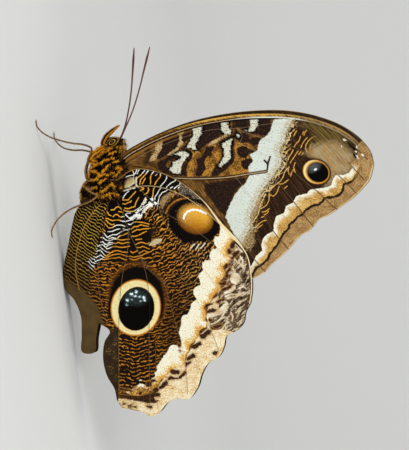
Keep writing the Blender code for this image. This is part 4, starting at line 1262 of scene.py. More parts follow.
HIND_LINES = [
    dots(-86,118, -80,122, -74,128), dots(-51,134, -42,133, -35,126, -29,123, -22,126, -19,131),
    dots(-64,138, -58,150, -51,152), dots(-45,155, -38,149, -32,147, -26,154, -19,157, -10,154),
    dots(-27,139, -16,141), dots(-67,160, -58,163, -48,168, -35,166, -26,166, -16,170, -5,171),
    dots(-67,166, -61,174, -54,179, -48,181, -42,179),
    dots(-74,173, -64,186, -58,192, -48,190, -38,184, -29,182, -19,182, -6,187), dots(-78,194, -70,202),
    dots(-62,203, -51,203, -42,200, -32,195, -22,195), dots(-13,194, -11,194),
    dots(-80,202, -70,213, -64,222, -58,219, -48,213, -35,213, -26,208, -16,202, -6,197, 3,198),
    dots(-86,222, -77,221, -70,229, -64,232, -54,232, -45,227, -35,227, -29,221, -22,216, -13,214, 0,208),
    dots(-58,226, -48,222, -38,224),
    dots(-86,237, -77,235, -70,245, -64,243, -58,238, -48,238, -38,242, -29,238, -16,242, -3,238, 6,238),
    dots(-32,227, -22,230, -10,229, 6,227),
    dots(-96,251, -86,246, -77,245, -70,253, -64,259, -54,254, -45,251, -35,251, -22,254, -10,253, 6,250),
    dots(-67,251, -59,245, -48,243), dots(-86,253, -80,258, -70,266, -64,269, -48,270),
    dots(-99,269, -93,264, -86,262, -80,269, -74,277, -67,282, -58,275, -48,267, -38,264, -29,264, -16,269,
        0,269),
    dots(-102,286, -93,283, -86,277, -80,283, -74,286, -67,288, -58,282, -45,277, -32,275, -22,275, -10,280,
        3,283),
    dots(-99,296, -90,294, -83,290, -74,293, -64,291, -51,288, -38,288, -26,285, -16,290, -3,294),
    dots(-14,98, -10,90, -3,80, 5,74), dots(-14,102, -6,102, 3,102, 10,94, 18,85, 27,75),
    dots(-14,114, -5,115, 3,110, 10,109, 13,104),
    dots(-8,128, 3,130, 13,126, 24,123, 27,112, 32,102, 37,94),
    dots(-11,134, -3,138, 10,139, 21,138, 29,133, 37,128, 43,123, 48,114, 53,107, 58,99, 59,94),
    dots(-6,149, 3,157, 13,163, 19,163, 26,158, 35,155, 45,155), dots(-6,149, 0,144, 10,144),
    dots(19,152, 29,146, 35,139, 42,134, 48,128, 54,123, 64,118, 74,110), dots(67,120, 74,115, 80,114),
    dots(45,149, 50,138, 56,126), dots(75,101, 82,98), dots(86,109, 93,115),
    dots(42,72, 50,69, 53,64, 45,62), dots(54,85, 64,80, 69,70, 67,62),
    dots(78,99, 82,86, 83,74, 85,64, 88,61), dots(88,101, 88,93, 96,82, 102,70, 107,64),
    dots(98,122, 99,106, 102,91, 112,78, 123,74, 128,70), dots(32,18, 38,6),
    dots(30,48, 30,34, 40,26, 48,18, 56,8), dots(40,51, 43,38, 50,29, 58,21, 64,13, 69,6),
    dots(48,50, 53,42, 58,32), dots(74,51, 75,40, 74,30, 78,19, 85,11),
    dots(88,53, 93,43, 99,35, 106,27, 106,18), dots(90,24, 96,19),
    dots(106,58, 114,50, 122,40, 126,32, 126,24), dots(125,62, 133,54, 142,46, 152,42, 157,35),
    dots(138,64, 147,59), dots(150,66, 158,59, 168,53, 171,43), dots(-3,170, 10,166, 19,165),
    dots(3,179, 10,181, 19,174, 29,171, 38,173, 51,174, 64,178, 70,179),
    dots(13,195, 22,187, 32,187, 42,181, 54,184, 67,186), dots(6,195, 8,195),
    dots(16,205, 29,197, 42,197, 51,194, 64,194, 74,192), dots(13,218, 26,218, 38,214, 48,208, 61,202),
    dots(26,229, 45,227), dots(26,245, 35,240, 45,237, 54,240, 64,243, 70,238),
    dots(29,254, 42,254, 48,250, 58,254, 70,259), dots(10,266, 16,272, 26,267, 32,264),
    dots(38,272, 48,266, 54,264, 67,269, 77,267, 83,261),
    dots(6,282, 19,285, 35,282, 45,280, 54,275, 67,270),
    dots(6,290, 19,294, 32,291, 42,286, 54,290, 67,286, 80,288), dots(70,133, 83,130, 96,136),
    dots(74,162, 86,150, 99,142), dots(80,147, 90,138), dots(77,168, 90,163, 99,155),
    dots(-13,35, -3,28, 10,24, 22,22, 29,12, 31,5), dots(22,22, 21,13, 17,7),
]
WHITE_PATCHES = [
    dots(71,108, 82,113, 84,119, 76,127, 66,130, 59,139, 52,144, 49,139, 56,129, 65,120),
    dots(55,97, 62,97, 60,107, 49,120, 43,122, 49,112),
    dots(56,123, 45,129, 35,133, 25,141, 35,141, 40,136),
    dots(15,154, 28,146, 48,148, 48,156, 39,164, 29,163, 35,156, 23,157, 15,164, 6,164, 6,159),
    dots(85,109, 92,107, 97,113, 92,117, 86,113), dots(73,100, 80,99, 83,105, 78,105),
]
HIND_WHITE = [
    dots(-128,301, -118,288, -102,282, -99,262, -96,243, -86,232, -80,216, -67,202, -64,194, -45,192,
        -38,178, -29,174, -13,163, -19,152, -10,147, -3,139, 19,142, 29,130, 45,115, 56,102, 56,90, 70,93,
        83,93, 90,70, 102,58, 109,45, 122,26, 128,19, 166,32, 179,45, 170,64, 150,70, 125,77, 109,90,
        102,106, 101,128, 86,122, 70,123, 58,138, 48,155, 38,163, 22,170, 22,179, 3,186, 11,195, -6,203,
        -19,211, -32,224, -42,234, -46,243, -51,253, -54,262, -67,272, -74,282, -78,291, -93,301, -106,314,
        -112,333),
    dots(26,-3, 70,2, 90,8, 109,13, 131,22, 128,32, 109,24, 86,19, 64,17, 45,18, 32,29, 22,16),
    dots(-19,38, 3,18, 26,16, 26,26, 0,32), dots(-16,90, -6,74, 6,67, 10,75, -3,90, -13,101),
]
HUMERAL = dots(-12,39, -6,34, 6,30, 21,29, 21,48, 6,58, -3,62, -13,65, -17,54)
HIND_SPOT = [
    dots(68,247, 74,238, 88,227, 110,224, 111,233, 97,243, 80,249),
]
HIND_DASHES = [
    dots(204,256, 214,243), dots(220,259, 230,243), dots(236,256, 249,240), dots(-13,73, 6,68, 24,63),
    dots(21,29, 22,48, 6,59), dots(29,30, 28,51, 32,57),
]
HIND_CREAM_INNER = dots(298,182, 298,202, 294,219, 282,219, 277,229, 280,242, 288,254, 283,259, 280,256,
    274,259, 266,269, 263,278, 267,290, 267,294, 250,295, 240,304, 241,317, 243,325, 235,334, 228,344,
    232,358, 235,370, 234,374, 221,379, 211,389, 213,402, 221,416, 222,422, 214,424, 205,434, 202,448,
    198,458, 192,469, 179,470, 173,478, 173,496, 170,509, 166,520, 166,531, 171,544, 174,560, 172,570,
    163,565, 154,566, 141,566, 134,573, 130,584, 122,595, 114,600, 115,605, 106,616, 102,624, 93,635,
    94,643, 96,646, 86,656, 90,664, 86,670, 77,672, 80,685, 77,698, 61,699, 51,691, 38,690, 29,701, 16,707,
    0,714, -6,717)
HIND_CREAM_OUTER = dots(358,230, 346,230, 333,237, 326,253, 320,261, 320,272, 330,285, 326,301, 314,307,
    307,320, 314,333, 310,346, 301,358, 294,366, 298,378, 301,390, 288,395, 275,410, 272,419, 272,429,
    250,435, 246,448, 253,461, 253,470, 250,483, 256,496, 253,509, 237,514, 230,522, 230,534, 224,544,
    211,557, 200,566, 198,576, 198,586, 189,595, 186,608, 186,618, 186,627, 176,637, 157,642, 141,643,
    134,653, 131,666, 115,672, 102,682, 96,694, 80,704, 70,714, 45,726, 16,730)
HIND_DARK = [
    dots(330,250, 333,240, 339,235, 346,240, 346,250, 339,258, 333,256),
    dots(322,259, 326,256, 333,266, 333,272, 326,274, 322,269),
    dots(339,272, 349,267, 358,262, 362,267, 355,275, 349,282, 342,288, 333,290, 331,285, 339,282),
    dots(307,314, 314,309, 320,304, 323,310, 320,320, 314,323, 310,317),
    dots(326,320, 331,315, 334,320, 328,330, 322,333, 325,342, 320,352, 315,346, 317,330),
    dots(294,368, 304,366, 314,360, 320,362, 317,371, 307,374, 298,373),
    dots(301,387, 314,381, 326,378, 333,368, 336,374, 330,384, 314,390, 304,394),
    dots(275,413, 285,403, 291,402, 288,410, 278,416),
    dots(291,421, 301,418, 314,418, 317,422, 301,426, 291,432, 282,429),
    dots(253,467, 254,459, 262,451, 275,448, 288,450, 285,458, 269,462, 259,464),
    dots(246,445, 253,435, 266,432, 275,429, 272,435, 259,442, 250,448),
    dots(259,485, 269,480, 274,485, 269,490, 262,488),
    dots(272,506, 285,502, 301,498, 304,502, 291,512, 278,510),
    dots(229,530, 240,531, 250,522, 259,515, 269,518, 266,531, 256,534, 250,544, 240,546, 232,539),
    dots(202,570, 211,565, 224,558, 234,554, 240,563, 227,571, 218,579, 208,576),
    dots(189,608, 198,600, 208,592, 221,597, 218,605, 205,610, 192,616),
    dots(186,621, 195,619, 208,619, 198,627, 189,635, 186,627),
    dots(138,646, 150,645, 166,646, 170,654, 160,659, 144,659, 138,653),
    dots(128,672, 141,664, 150,670, 163,669, 173,659, 186,646, 189,656, 179,666, 170,674, 150,675, 138,677,
        131,678), dots(112,688, 125,678, 131,685, 128,694, 115,704, 102,710, 101,701, 109,694),
    dots(80,710, 90,701, 102,704, 101,714, 86,718),
    dots(16,736, 38,730, 58,725, 77,720, 93,715, 106,723, 102,730, 86,733, 90,742, 101,744, 93,750, 64,752,
        38,746, 19,744), dots(35,718, 42,714, 48,717, 45,725, 38,726),
    dots(58,698, 64,683, 77,685, 77,699, 67,701), dots(74,682, 80,675, 90,677, 94,682, 83,685),
    dots(-26,755, -13,757, -2,762, -13,763), dots(67,758, 77,760, 75,766, 69,765),
    dots(160,566, 163,560, 171,566, 170,573, 163,571), dots(166,582, 173,584, 170,589, 166,587),
    dots(272,589, 282,582, 291,586, 285,598, 275,595),
    dots(-30,735, 25,743, 80,745, 80,732, 25,729, -30,725), dots(-22,754, -3,758, -4,765, -20,763),
    dots(62,759, 82,759, 80,767, 63,767), dots(-26,710, 16,716, 16,711, -26,704),
]
HIND_LIGHT = [
    dots(333,342, 342,333, 358,336, 362,349, 358,362, 346,371, 333,366, 330,355),
    dots(307,397, 323,390, 336,381, 349,376, 346,387, 330,397, 314,403),
    dots(35,678, 45,677, 48,680, 38,682),
    dots(320,426, 307,438, 294,448, 275,459, 259,467, 259,477, 278,475, 301,467, 317,448, 326,432),
]
HIND_STREAKS = [
    dots(339,253, 349,243, 358,253, 362,269), dots(326,278, 336,282, 346,291, 352,301),
    dots(346,304, 336,320, 342,326), dots(358,301, 371,317, 381,307),
    dots(314,410, 330,403, 352,403, 374,397), dots(323,416, 346,410, 365,403),
    dots(269,499, 285,493, 301,480, 310,464, 323,442), dots(282,531, 288,525, 304,515, 314,499, 323,490),
    dots(285,544, 294,538, 310,541), dots(314,506, 317,512, 310,525), dots(291,429, 307,422, 320,429),
    dots(346,262, 355,258, 368,266), dots(362,282, 371,294, 368,310), dots(358,384, 371,378, 381,384),
    dots(333,461, 339,474, 336,486),
]
GOLD_LOW = dots(0,714, 16,707, 29,701, 42,698, 61,704, 80,698, 96,688, 106,678, 102,694, 96,704, 77,714,
    58,722, 32,730, 10,726)
HIND_MARGIN = [
    dots(291,400, 260,439, 254,470, 257,512, 230,533, 212,564, 191,599, 187,626, 142,647, 114,675, 91,712,
        73,737, -4,738, -40,740, -40,900, 500,900, 500,540, 360,530, 310,515, 269,518, 260,480, 294,450),
]
HIND_MOTTLE = [
    dots(336,218, 320,259, 330,283, 327,308, 310,320, 313,340, 296,364, 291,386, 272,413, 300,430, 269,470,
        256,502, 300,518, 314,566, 450,550, 450,250, 378,230),
]
HIND_FOLD = [
    dots(-220,346, -198,355, -138,394, -99,438, -80,493, -80,600, -160,620, -230,500),
]
HIND_LOBE = [
    dots(-95,505, -80,522, -30,509, -30,755, -45,760, -90,710),
]
BROW = dots(123,144, 134,122, 154,105, 173,98, 195,95)
PALE_BROW = [
    dots(106,102, 115,90, 128,82, 147,78, 160,83, 141,90, 128,102, 118,118, 112,131, 106,118),
]
CRESCENT = dots(181,161, 182,153, 193,139, 212,133, 232,136, 252,145)
AMBER_BLACK = [
    dots(151,119, 173,105, 203,97, 232,100, 266,119, 286,149, 298,176, 292,195, 283,215, 266,229, 242,235,
        215,234, 188,240, 168,227, 146,207, 133,185, 132,161, 139,136),
]
AMBER = (21.8, 16.1, 6.1, 4.95, 0.38)
BIG_RING = (2.6, 44.7, 8.05, 9.15, 0.2)
BIG_PUPIL = (2.8, 45.05, 5.7, 7.0, 0.2)
HALO = (3.0, 41.5, 9.0, 10.5, 0.0)
SPARKLES = [
    (-0.1, 42.4, 0.45), (-0.35, 43.9, 0.28), (1.2, 40.4, 0.52), (2.8, 39.6, 0.46), (2.4, 41, 0.4),
    (3.8, 41.2, 0.34), (5.1, 41.4, 0.5), (5.4, 42.3, 0.4), (4.2, 42.6, 0.24), (1.3, 42.0, 0.24),
]


def hind_layer(out, back):
    """Distance of the hindwing from the middle plane: it bulges round the abdomen and curls in below."""
    lift = body_lift(*wing_to_world(out, back))
    reach = np.where(lift > 0, BULGE_ABOVE, BULGE_BELOW)
    curl = np.clip((-lift - 3.5) / 4.0, 0.0, 1.0)
    flare = EDGE_FLARE * np.maximum(0.0, (back - 45.0) / 34.0) ** 2
    bulge = BODY_BULGE * np.exp(-(lift / reach) ** 2)
    return HIND_LAYER + bulge - GUTTER_CURL * curl * curl * (3 - 2 * curl) + flare


def hindwing_scales():
    """The under side's stripes, amber spot, large eyespot and cream border."""
    material, shader, paint = new_material("hindwing_scales", 0.6, 0.02)
    at, wide, jag, fleck = wing_grain(paint, 3.0)
    flow = paint.given("flow", "Vector")
    vein = paint.off_line("veins")
    cream = paint["cream"] + jag * 0.45 + fleck * 0.5
    far = paint["far"]
    tangle = paint["tangle"]
    left = paint["left"]
    white = paint.within(paint["white"] + jag * 0.5, 0.5)
    pitch = paint["pitch"]

    along_flow = paint.stretched(flow, 0.2, 0.42)
    kinks = paint.grain(along_flow, 0.9, 1.0) * 1.7 + paint.grain(at, 0.8, 1.0) * 0.5
    kinks = kinks + paint.grain(at, 1.8, 1.0) * tangle * 1.9
    phase = paint["phase"] + kinks
    off_line = phase.math("ABSOLUTE", phase.math("FRACT", phase) - 0.5) * pitch
    low_down = paint["low_down"]
    whole = paint.within(paint.grain(at, 1.0, 2.0) + 0.08 + 0.28 * left - 0.05 * low_down, 0.12)
    half = 0.165 - 0.055 * left - 0.02 * low_down
    stripe = paint.within(half + fleck * 0.3 - off_line, 0.12) * whole
    drawn = paint.off_set("drawn") + paint.grain(at, 0.5, 2.0) * 0.26
    traced = paint.within(0.155 - white * 0.03 + fleck * 0.25 - drawn, 0.12)
    solid = paint.within(paint["solid"] + jag * 0.3 + fleck * 1.5, 0.14)
    traced = traced.math("MAXIMUM", traced, solid)
    inner = paint.within(paint["drawn_area"], 0.3)
    stripe = stripe + (traced - stripe) * inner
    tone = paint.mix((222, 156, 44), (192, 124, 38), far)
    tone = paint.mix(tone, (190, 142, 80), paint["grey"])
    tone = paint.mix(tone, (176, 142, 54), left)
    tone = paint.mix(tone, (96, 60, 20), paint["dusk"])
    tone = paint.mix(tone, (236, 238, 228), white)
    tone = paint.mix(tone, (104, 66, 28), paint.within(wide - 0.1, 0.25) * tangle * 0.7)
    ground = paint.mix((10, 7, 5), (24, 15, 8), far)
    colour = paint.mix(ground, tone, stripe)
    dashes = paint.within(0.2 - paint.off_set("dash") + jag * 0.4 + fleck * 0.4, 0.2)
    colour = paint.mix(colour, (204, 198, 172), dashes)

    strip = paint.blend((60, 48, 40), (150, 136, 118), fleck - 0.06, 0.2)
    colour = colour.lay(strip, paint["strip"] + jag, 0.6)
    lit = paint.within(paint["lit"] + wide * 3.0 + fleck * 2.5, 3.0)
    shoulder = paint.mix((46, 32, 18), (192, 170, 116), lit)
    colour = paint.mix(colour, shoulder, paint.within(paint["shoulder"] + jag * 0.3) * (1.0 - dashes))
    colour = colour.lay((34, 23, 15), paint["smudge"] + jag * 1.4, 1.4, 0.65)

    brow = paint.off_line("brow") + jag * 0.2
    colour = colour.lay((36, 24, 16), 1.3 - brow, 0.9)
    beige = paint.blend((176, 150, 106), (96, 72, 46), fleck + wide * 0.4, 0.3)
    colour = colour.lay(beige, paint["pale_brow"] + jag * 0.6, 0.5)
    rust = paint.blend((172, 110, 34), (86, 54, 22), fleck + wide * 0.5 - 0.02, 0.2)
    colour = colour.lay(rust, 0.27 - brow + jag * 0.3, 0.2)
    colour = colour.lay(BLACK, paint["amber_black"] + jag * 0.2, 0.3)
    amber = paint["amber"]
    low = paint["amber_low"]
    gold = paint.blend((218, 162, 50), (150, 92, 16), low + fleck * 4.0, 4.5)
    gold = gold.lay((170, 108, 24), fleck - 0.06, 0.12, 0.6)
    gold = gold.lay((90, 50, 10), 1.1 - amber + fleck * 2.5, 1.9)
    colour = colour.lay(gold, amber + jag * 0.15, 0.45)
    crescent = paint.off_line("crescent")
    dust = paint.within(fleck - 0.14, 0.1) * paint.within(2.4 - crescent, 1.8)
    colour = paint.mix(colour, (240, 226, 176), dust * 0.8)
    colour = colour.lay((236, 242, 240), 0.3 - crescent + jag * 0.4 + fleck, 0.2)

    halo = paint["halo"] + jag * 1.4
    colour = colour.lay((120, 70, 20), halo + 0.9, 1.6, 0.55)
    colour = colour.lay(BLACK, halo, 1.6)
    ring = paint["ring"] + jag * 0.25
    black_ring = paint.within(ring + 1.0, 0.8) * paint.within(48.5 - paint["back"], 3.0)
    colour = paint.mix(colour, BLACK, black_ring)
    colour = colour.lay((184, 112, 24), ring, 0.3)
    cream_ring = paint.blend((224, 210, 154), (204, 176, 106), fleck + wide * 0.3 - 0.1)
    colour = colour.lay(cream_ring, ring - 0.38, 0.3)
    pupil = paint["pupil"] + jag * 0.25
    colour = colour.lay((110, 76, 30), pupil + 0.12)
    colour = colour.lay((6, 5, 4), pupil)
    sheen = paint.within(paint["sheen"] + jag, 2.0) * paint.within(pupil)
    colour = paint.mix(colour, (60, 72, 72), sheen * paint.within(fleck + 0.04, 0.3) * 0.6)
    sparkle = paint["sparkle"] + jag * 0.8 + fleck * 0.6
    colour = colour.lay((120, 146, 150), sparkle + 0.1, 0.3)
    colour = colour.lay((236, 246, 244), sparkle - 0.14, 0.2)

    spot = paint.blend((208, 194, 156), (160, 140, 100), fleck, 0.3)
    colour = colour.lay(spot, paint["spot"] + jag * 0.7)
    ripples = paint.stretched(flow, 1.0, 0.4)
    mottle = paint.grain(ripples, 0.8, 2.0) + fleck * 0.5
    dim = paint.blend((82, 62, 46), (190, 172, 140), mottle - 0.03, 0.1)
    dim = dim.lay((44, 31, 22), paint.grain(ripples, 0.9, 2.0) + fleck * 0.4 - 0.09, 0.08)
    colour = colour.lay(dim, paint["mottle"] + jag * 0.6)
    chalk = paint.blend((228, 222, 202), (190, 160, 112), wide + fleck * 0.6, 0.4)
    streaks = paint.within(0.26 - paint.off_set("streak") + jag * 0.4, 0.2)
    colour = paint.mix(colour, chalk, streaks * paint.within(paint["mottle"] + 1.0))
    near_edge = paint["gold"]
    gilded = paint.within(near_edge - 1.3 + wide * 6.0 + fleck * 7.0, 0.8)
    pale = paint.mix((231, 227, 206), (222, 190, 116), gilded)
    pale = pale.lay((206, 188, 140), fleck + wide * 0.2 - 0.07, 0.1, 0.8)
    rust = paint.within(near_edge - 2.2 + fleck * 6.0 + wide * 3.0, 0.5)
    pale = paint.mix(pale, (196, 134, 46), rust * 0.85)
    colour = colour.lay(pale, cream)
    margin = paint.blend((230, 220, 190), (206, 172, 112), wide + fleck * 1.8, 0.4)
    margin = margin.lay((148, 100, 48), fleck + wide * 0.6 - 0.2, 0.1)
    colour = colour.lay(margin, paint["margin"] + jag * 0.8)
    colour = colour.lay(chalk, paint["light"] + jag * 0.5)
    low_gold = paint.blend((210, 160, 68), (92, 56, 22), fleck * 1.6 + wide, 0.12)
    colour = colour.lay(low_gold, paint["gold_low"] + jag * 1.6, 0.6, 0.9)
    blotch = paint.blend((38, 24, 16), (104, 66, 34), fleck - 0.1, 0.2)
    colour = colour.lay((150, 100, 44), paint["blotch"] + 0.35 + jag, 0.4, 0.6)
    colour = colour.lay(blotch, paint["blotch"] + jag * 0.8)
    fold = paint.blend((86, 68, 38), (62, 48, 28), wide + fleck * 0.5, 0.7)
    colour = colour.lay(fold, paint["fold"] + jag, 0.9)
    lobe = paint.blend((38, 27, 18), (60, 46, 28), wide + fleck, 0.5)
    lobe = lobe.lay((118, 100, 58), wide * 0.7 + fleck - 0.2, 0.08)
    colour = colour.lay(lobe, paint["lobe"] + jag * 0.4)
    rows = paint.grain(paint.stretched(at, 0.35, 1.5), 0.6) + fleck * 0.4
    frill = paint.blend((206, 178, 126), (78, 54, 32), rows - 0.02, 0.12)
    colour = colour.lay(frill, paint["frill"] + jag * 1.4, 0.8)

    line = paint.blend((96, 76, 52), (214, 178, 112), cream)
    line = paint.mix(line, (176, 128, 58), left)
    line = line.lay((196, 172, 124), paint["near_costa"])
    line = line.lay((60, 44, 30), ring)
    line = line.lay((30, 24, 20), pupil)
    colour = colour.lay(line, 0.11 - vein, 0.13, 0.7)
    rib = paint["rib"] + jag * 0.08
    rim_dark = paint.within(1.7 - rib, 0.3) * paint.within(paint["rim_dark"], 2.0)
    colour = paint.mix(colour, (34, 24, 18), rim_dark)
    edge = paint.blend((150, 118, 78), (224, 202, 152), paint["rim_dark"] + 12.0, 8.0)
    colour = colour.lay(edge, 1.0 - rib, 0.2)

    upper = paint.blend((40, 26, 22), (58, 54, 104), 30.0 - paint["back"], 30.0, 0.6)
    colour = paint.mix(upper, colour, paint["under"])
    lay_scales(paint, shader, colour, at, paint.within(0.3 - vein, 0.5) * 0.1)
    return material


hind_edges = (HIND_LEADING_EDGE, HIND_OUTER_EDGE, HIND_LOBE_EDGE, HIND_FOLD_EDGE, HIND_BODY_EDGE)
hind_outline, hind_sheet, spots, leading, off_vein, off_edge = laid_out(hind_edges, HIND_VEINS)
out, back = spots.T
stretch = np.where(spots[:, :1] > STRIPE_ROOT[0], np.array([0.82, 1.0]), 1.0)
flow = flow_of(STRIPE_ROOT + (spots - STRIPE_ROOT) * stretch, STRIPE_ROOT)
across = flow[:, 0]
in_fold = np.where(out < -9.0 - 0.2 * (back - 23.0), 1.0, 0.0)
in_low = np.where((back > 53.5) & (out > -3.0) & (out < 9.0), 1.0, 0.0)
crease_out = (-9.0 - 0.2 * (back - FOLD_SLOPE * out - 23.0)) / (1.0 + 0.2 * FOLD_SLOPE)
crease_back = back + FOLD_SLOPE * (crease_out - out)
from_crease = np.hypot(crease_out - STRIPE_ROOT[0], crease_back - STRIPE_ROOT[1])
pitch = np.where(in_low > 0, LOW_STRIPE, FAR_STRIPE)
phase = np.select([in_low > 0, in_fold > 0], [back + 0.24 * np.abs(out - 1.6), from_crease], across) / pitch
above_costa = depth(spots, HIND_VEINS["costa"] + [(60, 20), (60, -20), (-10, -20)])
rib_width = 0.22 + 0.7 * np.clip((out - 24.0) / 8.0, 0.0, 1.0) * np.clip((38.0 - out) / 4.0, 0.15, 1.0)
note_lines(hind_sheet, "drawn", spots, HIND_LINES)
note_lines(hind_sheet, "dash", spots, HIND_DASHES)
dusk = np.clip((back - 30.0 + 8.0 * in_fold) / 20.0, 0.0, 0.8)
grey = np.clip((out - 14.0) / 10.0, 0.0, 1.0) * np.clip((back - 20.0) / 6.0, 0.0, 1.0)
note_lines(hind_sheet, "streak", spots, HIND_STREAKS)
note(hind_sheet,
     flow=flow, phase=phase, pitch=pitch, tangle=(1.0 - in_fold) * (1.0 - 0.45 * in_low),
     drawn_area=depth(spots, DRAWN_AREA), white=depth_of(spots, HIND_WHITE),
     solid=depth_of(spots, WHITE_PATCHES), left=in_fold, low_down=in_low,
     dusk=dusk * np.clip(np.abs(out - 1.0) / 6.0 - 1.0, 0.0, 1.0),
     far=np.clip((across - 10.0) / 16.0, 0.0, 1.0),
     grey=np.maximum(grey, oval(spots, (8.0, 13.8, 3.0, 2.0, 0.8))),
     strip=np.minimum(above_costa, out - 17.0), near_costa=0.4 - np.abs(above_costa),
     shoulder=depth(spots, HUMERAL), lit=(out - 0.2) * 0.8 + (back - 4.4),
     smudge=oval(spots, (8.7, 20.2, 1.5, 3.0, 0.0)), brow=steps_to(spots, [BROW]),
     pale_brow=depth_of(spots, PALE_BROW), amber_black=depth_of(spots, AMBER_BLACK),
     amber=oval(spots, AMBER), amber_low=(back - 17.0) - 0.25 * (out - 21.8),
     crescent=steps_to(spots, [CRESCENT]), halo=oval(spots, HALO), ring=oval(spots, BIG_RING),
     pupil=oval(spots, BIG_PUPIL), sheen=oval(spots, (2.6, 41.3, 4.0, 2.6, 0.0)),
     sparkle=np.max([oval(spots, (x, y, r, r, 0.0)) for x, y, r in SPARKLES], axis=0),
     spot=depth_of(spots, HIND_SPOT), mottle=depth_of(spots, HIND_MOTTLE),
     light=depth_of(spots, HIND_LIGHT), cream=depth(spots, HIND_CREAM_INNER + HIND_CREAM_OUTER[::-1]),
     gold=3.0 - off_lines(spots, [HIND_CREAM_OUTER]), gold_low=depth(spots, GOLD_LOW),
     margin=depth_of(spots, HIND_MARGIN), blotch=depth_of(spots, HIND_DARK),
     fold=depth_of(spots, HIND_FOLD), lobe=depth_of(spots, HIND_LOBE),
     frill=np.minimum(back - 74.9, 3.4 - out), rib=leading / rib_width, rim_dark=out - 34.0)
hind_scales = hindwing_scales()
for side_name, side in SIDES.items():
    name = "hindwing_skin_" + side_name
    hindwing = hang_wing(name, hind_sheet, side, hind_layer, off_vein, off_edge, hind_scales)
    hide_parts("hindwing_" + side_name)

# Wing root fur: the body's coat runs on over the roots of both wings and hides where they join it.
# Tufts are rooted on the wings' outer faces, laid away from the body, with its orange ridges.
ROOT_TUFTS = 9000
ROOT_TUFT = (1.5, 0.1, 0.4)
ROOT_FUR = {
    "hindwing": dots(-86,32, -19,13, -10,26, -16,48, -19,70, -22,90, -35,98, -51,102, -74,102, -96,107,
        -122,112, -147,120, -154,112, -122,100, -86,90),
    "forewing": dots(-48,-32, -29,-35, -22,-29, -16,-19, -6,-6, -6,10, -26,16, -51,13),
}
FUR_CENTRE = np.array([-9.0, 2.2])


def root_fur(name, side):
    draw = np.random.default_rng(61)
    rows = []
    wings = (("hindwing", hind_layer, hind_outline), ("forewing", fore_layer, fore_outline))
    for wing, layer, outline in wings:
        patch = np.array(ROOT_FUR[wing])
        area = np.prod(patch.max(0) - patch.min(0))
        tried = draw.uniform(patch.min(0), patch.max(0), (round(ROOT_TUFTS * area / 150.0), 2))
        kept = tried[(depth(tried, ROOT_FUR[wing]) > 0.0) & (depth(tried, outline) > 0.1)]
        away = layer(*kept.T) + MEMBRANE
        rows.append(np.column_stack([kept, away]))
    spots = np.concatenate(rows)
    x, z = wing_to_world(spots[:, 0], spots[:, 1])
    roots = np.stack([x, side * spots[:, 2], z], axis=1)
    outward = np.repeat([(0.0, float(side), 0.0)], len(roots), axis=0)
    heading = unit(spots[:, :2] - FUR_CENTRE)
    tip_x, tip_z = wing_to_world(*(spots[:, :2] + heading).T)
    lie = np.stack([tip_x - x, np.zeros(len(x)), tip_z - z], axis=1)
    count = len(roots)
    unwrap = (spots[:, :2] + 20.0) / 40.0
    sizes = [np.full(count, size) for size in ROOT_TUFT]
    coat = tufted_coat(name, roots, outward, lie, *sizes, unwrap, seed=62)
    note(coat,
         orange=np.repeat(orange_share(roots + lie * 0.5), TUFT_CORNERS),
         dull=np.zeros(TUFT_CORNERS * count))
    return coat


for side_name, side in SIDES.items():
    add_piece("root_fur_" + side_name, root_fur("root_fur_" + side_name, side), fur)

# Studio: a pale floor that the insect stands on, soft lamps on its left side, and a long lens
# rolled so that the head is up, as on the upright perch it was seen on.
FRAME_HEIGHT = 144.0
LENS = 200.0
SENSOR = 36.0
AIM = (0.6, 0.0, 47.3)
ELEVATION = math.radians(7.0)


def daylight():
    world = bpy.data.worlds.new("studio")
    world.use_nodes = True
    world.node_tree.nodes["Background"].inputs["Color"].default_value = (0.86, 0.88, 0.90, 1.0)
    world.node_tree.nodes["Background"].inputs["Strength"].default_value = 0.5
    bpy.context.scene.world = world


def lamp(name, place, target, size, power):
    light = bpy.data.lights.new(name, "AREA")
    light.shape = "DISK"
    light.size = size
    light.energy = power
    thing = put(name, light)
    thing.location = place
    thing.rotation_euler = (Vector(target) - Vector(place)).to_track_quat("-Z", "Y").to_euler()


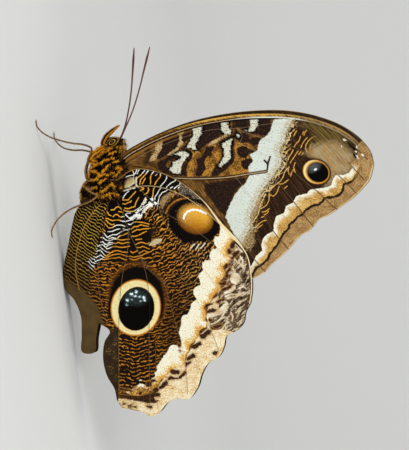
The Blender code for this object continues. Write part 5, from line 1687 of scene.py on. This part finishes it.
def floor():
    """A wide sheet of paper that runs back under the insect and then sweeps up behind it."""
    form = bmesh.new()
    front, turn_at, turn_radius, top, half_width = -3.0, 0.4, 0.4, 2.6, 3.0
    profile = [(front, 0.0), (turn_at, 0.0)]
    for k in range(1, 13):
        angle = math.pi / 2 * k / 12
        profile.append((turn_at + turn_radius * math.sin(angle), turn_radius * (1 - math.cos(angle))))
    profile.append((turn_at + turn_radius, top))
    points = [form.verts.new((-half_width, y, z)) for y, z in profile]
    edges = [form.edges.new(pair) for pair in zip(points, points[1:])]
    drawn = bmesh.ops.extrude_edge_only(form, edges=edges)
    across = [item for item in drawn["geom"] if isinstance(item, bmesh.types.BMVert)]
    bmesh.ops.translate(form, verts=across, vec=(2 * half_width, 0.0, 0.0))
    bmesh.ops.recalc_face_normals(form, faces=form.faces)
    mesh = mesh_of(form, "floor")
    mesh.shade_smooth()
    thing = put("floor", mesh)
    material = bpy.data.materials.new("floor_paper")
    material.use_nodes = True
    shader = material.node_tree.nodes["Principled BSDF"]
    shader.inputs["Base Color"].default_value = (0.62, 0.62, 0.60, 1.0)
    shader.inputs["Roughness"].default_value = 0.9
    mesh.materials.append(material)


def camera():
    lens = bpy.data.cameras.new("camera")
    lens.lens = LENS
    lens.sensor_width = SENSOR
    lens.sensor_height = SENSOR
    lens.clip_start = 0.05
    thing = put("camera", lens)
    distance = FRAME_HEIGHT * MM * LENS / SENSOR
    toward = Vector((0.0, math.cos(ELEVATION), -math.sin(ELEVATION)))
    upright = Vector((0.0, math.sin(ELEVATION), math.cos(ELEVATION)))
    tail = Vector((1.0, 0.0, 0.0))
    right = tail * math.sin(LEAN) + upright * math.cos(LEAN)
    up = upright * math.sin(LEAN) - tail * math.cos(LEAN)
    turn = Matrix((right, up, -toward)).transposed().to_4x4()
    aim = Vector(AIM) * MM
    thing.matrix_world = Matrix.Translation(aim - toward * distance) @ turn
    bpy.context.scene.camera = thing


daylight()
floor()
camera()
lamp("key", (-0.35, -0.75, 0.45), (0.0, 0.0, 0.05), 0.5, 4.6)
lamp("fill", (0.45, -0.6, 0.25), (0.0, 0.0, 0.05), 0.6, 1.6)
lamp("top", (0.0, 0.1, 1.2), (0.0, 0.3, 0.0), 1.0, 6.0)
bpy.context.scene.view_settings.view_transform = "Standard"
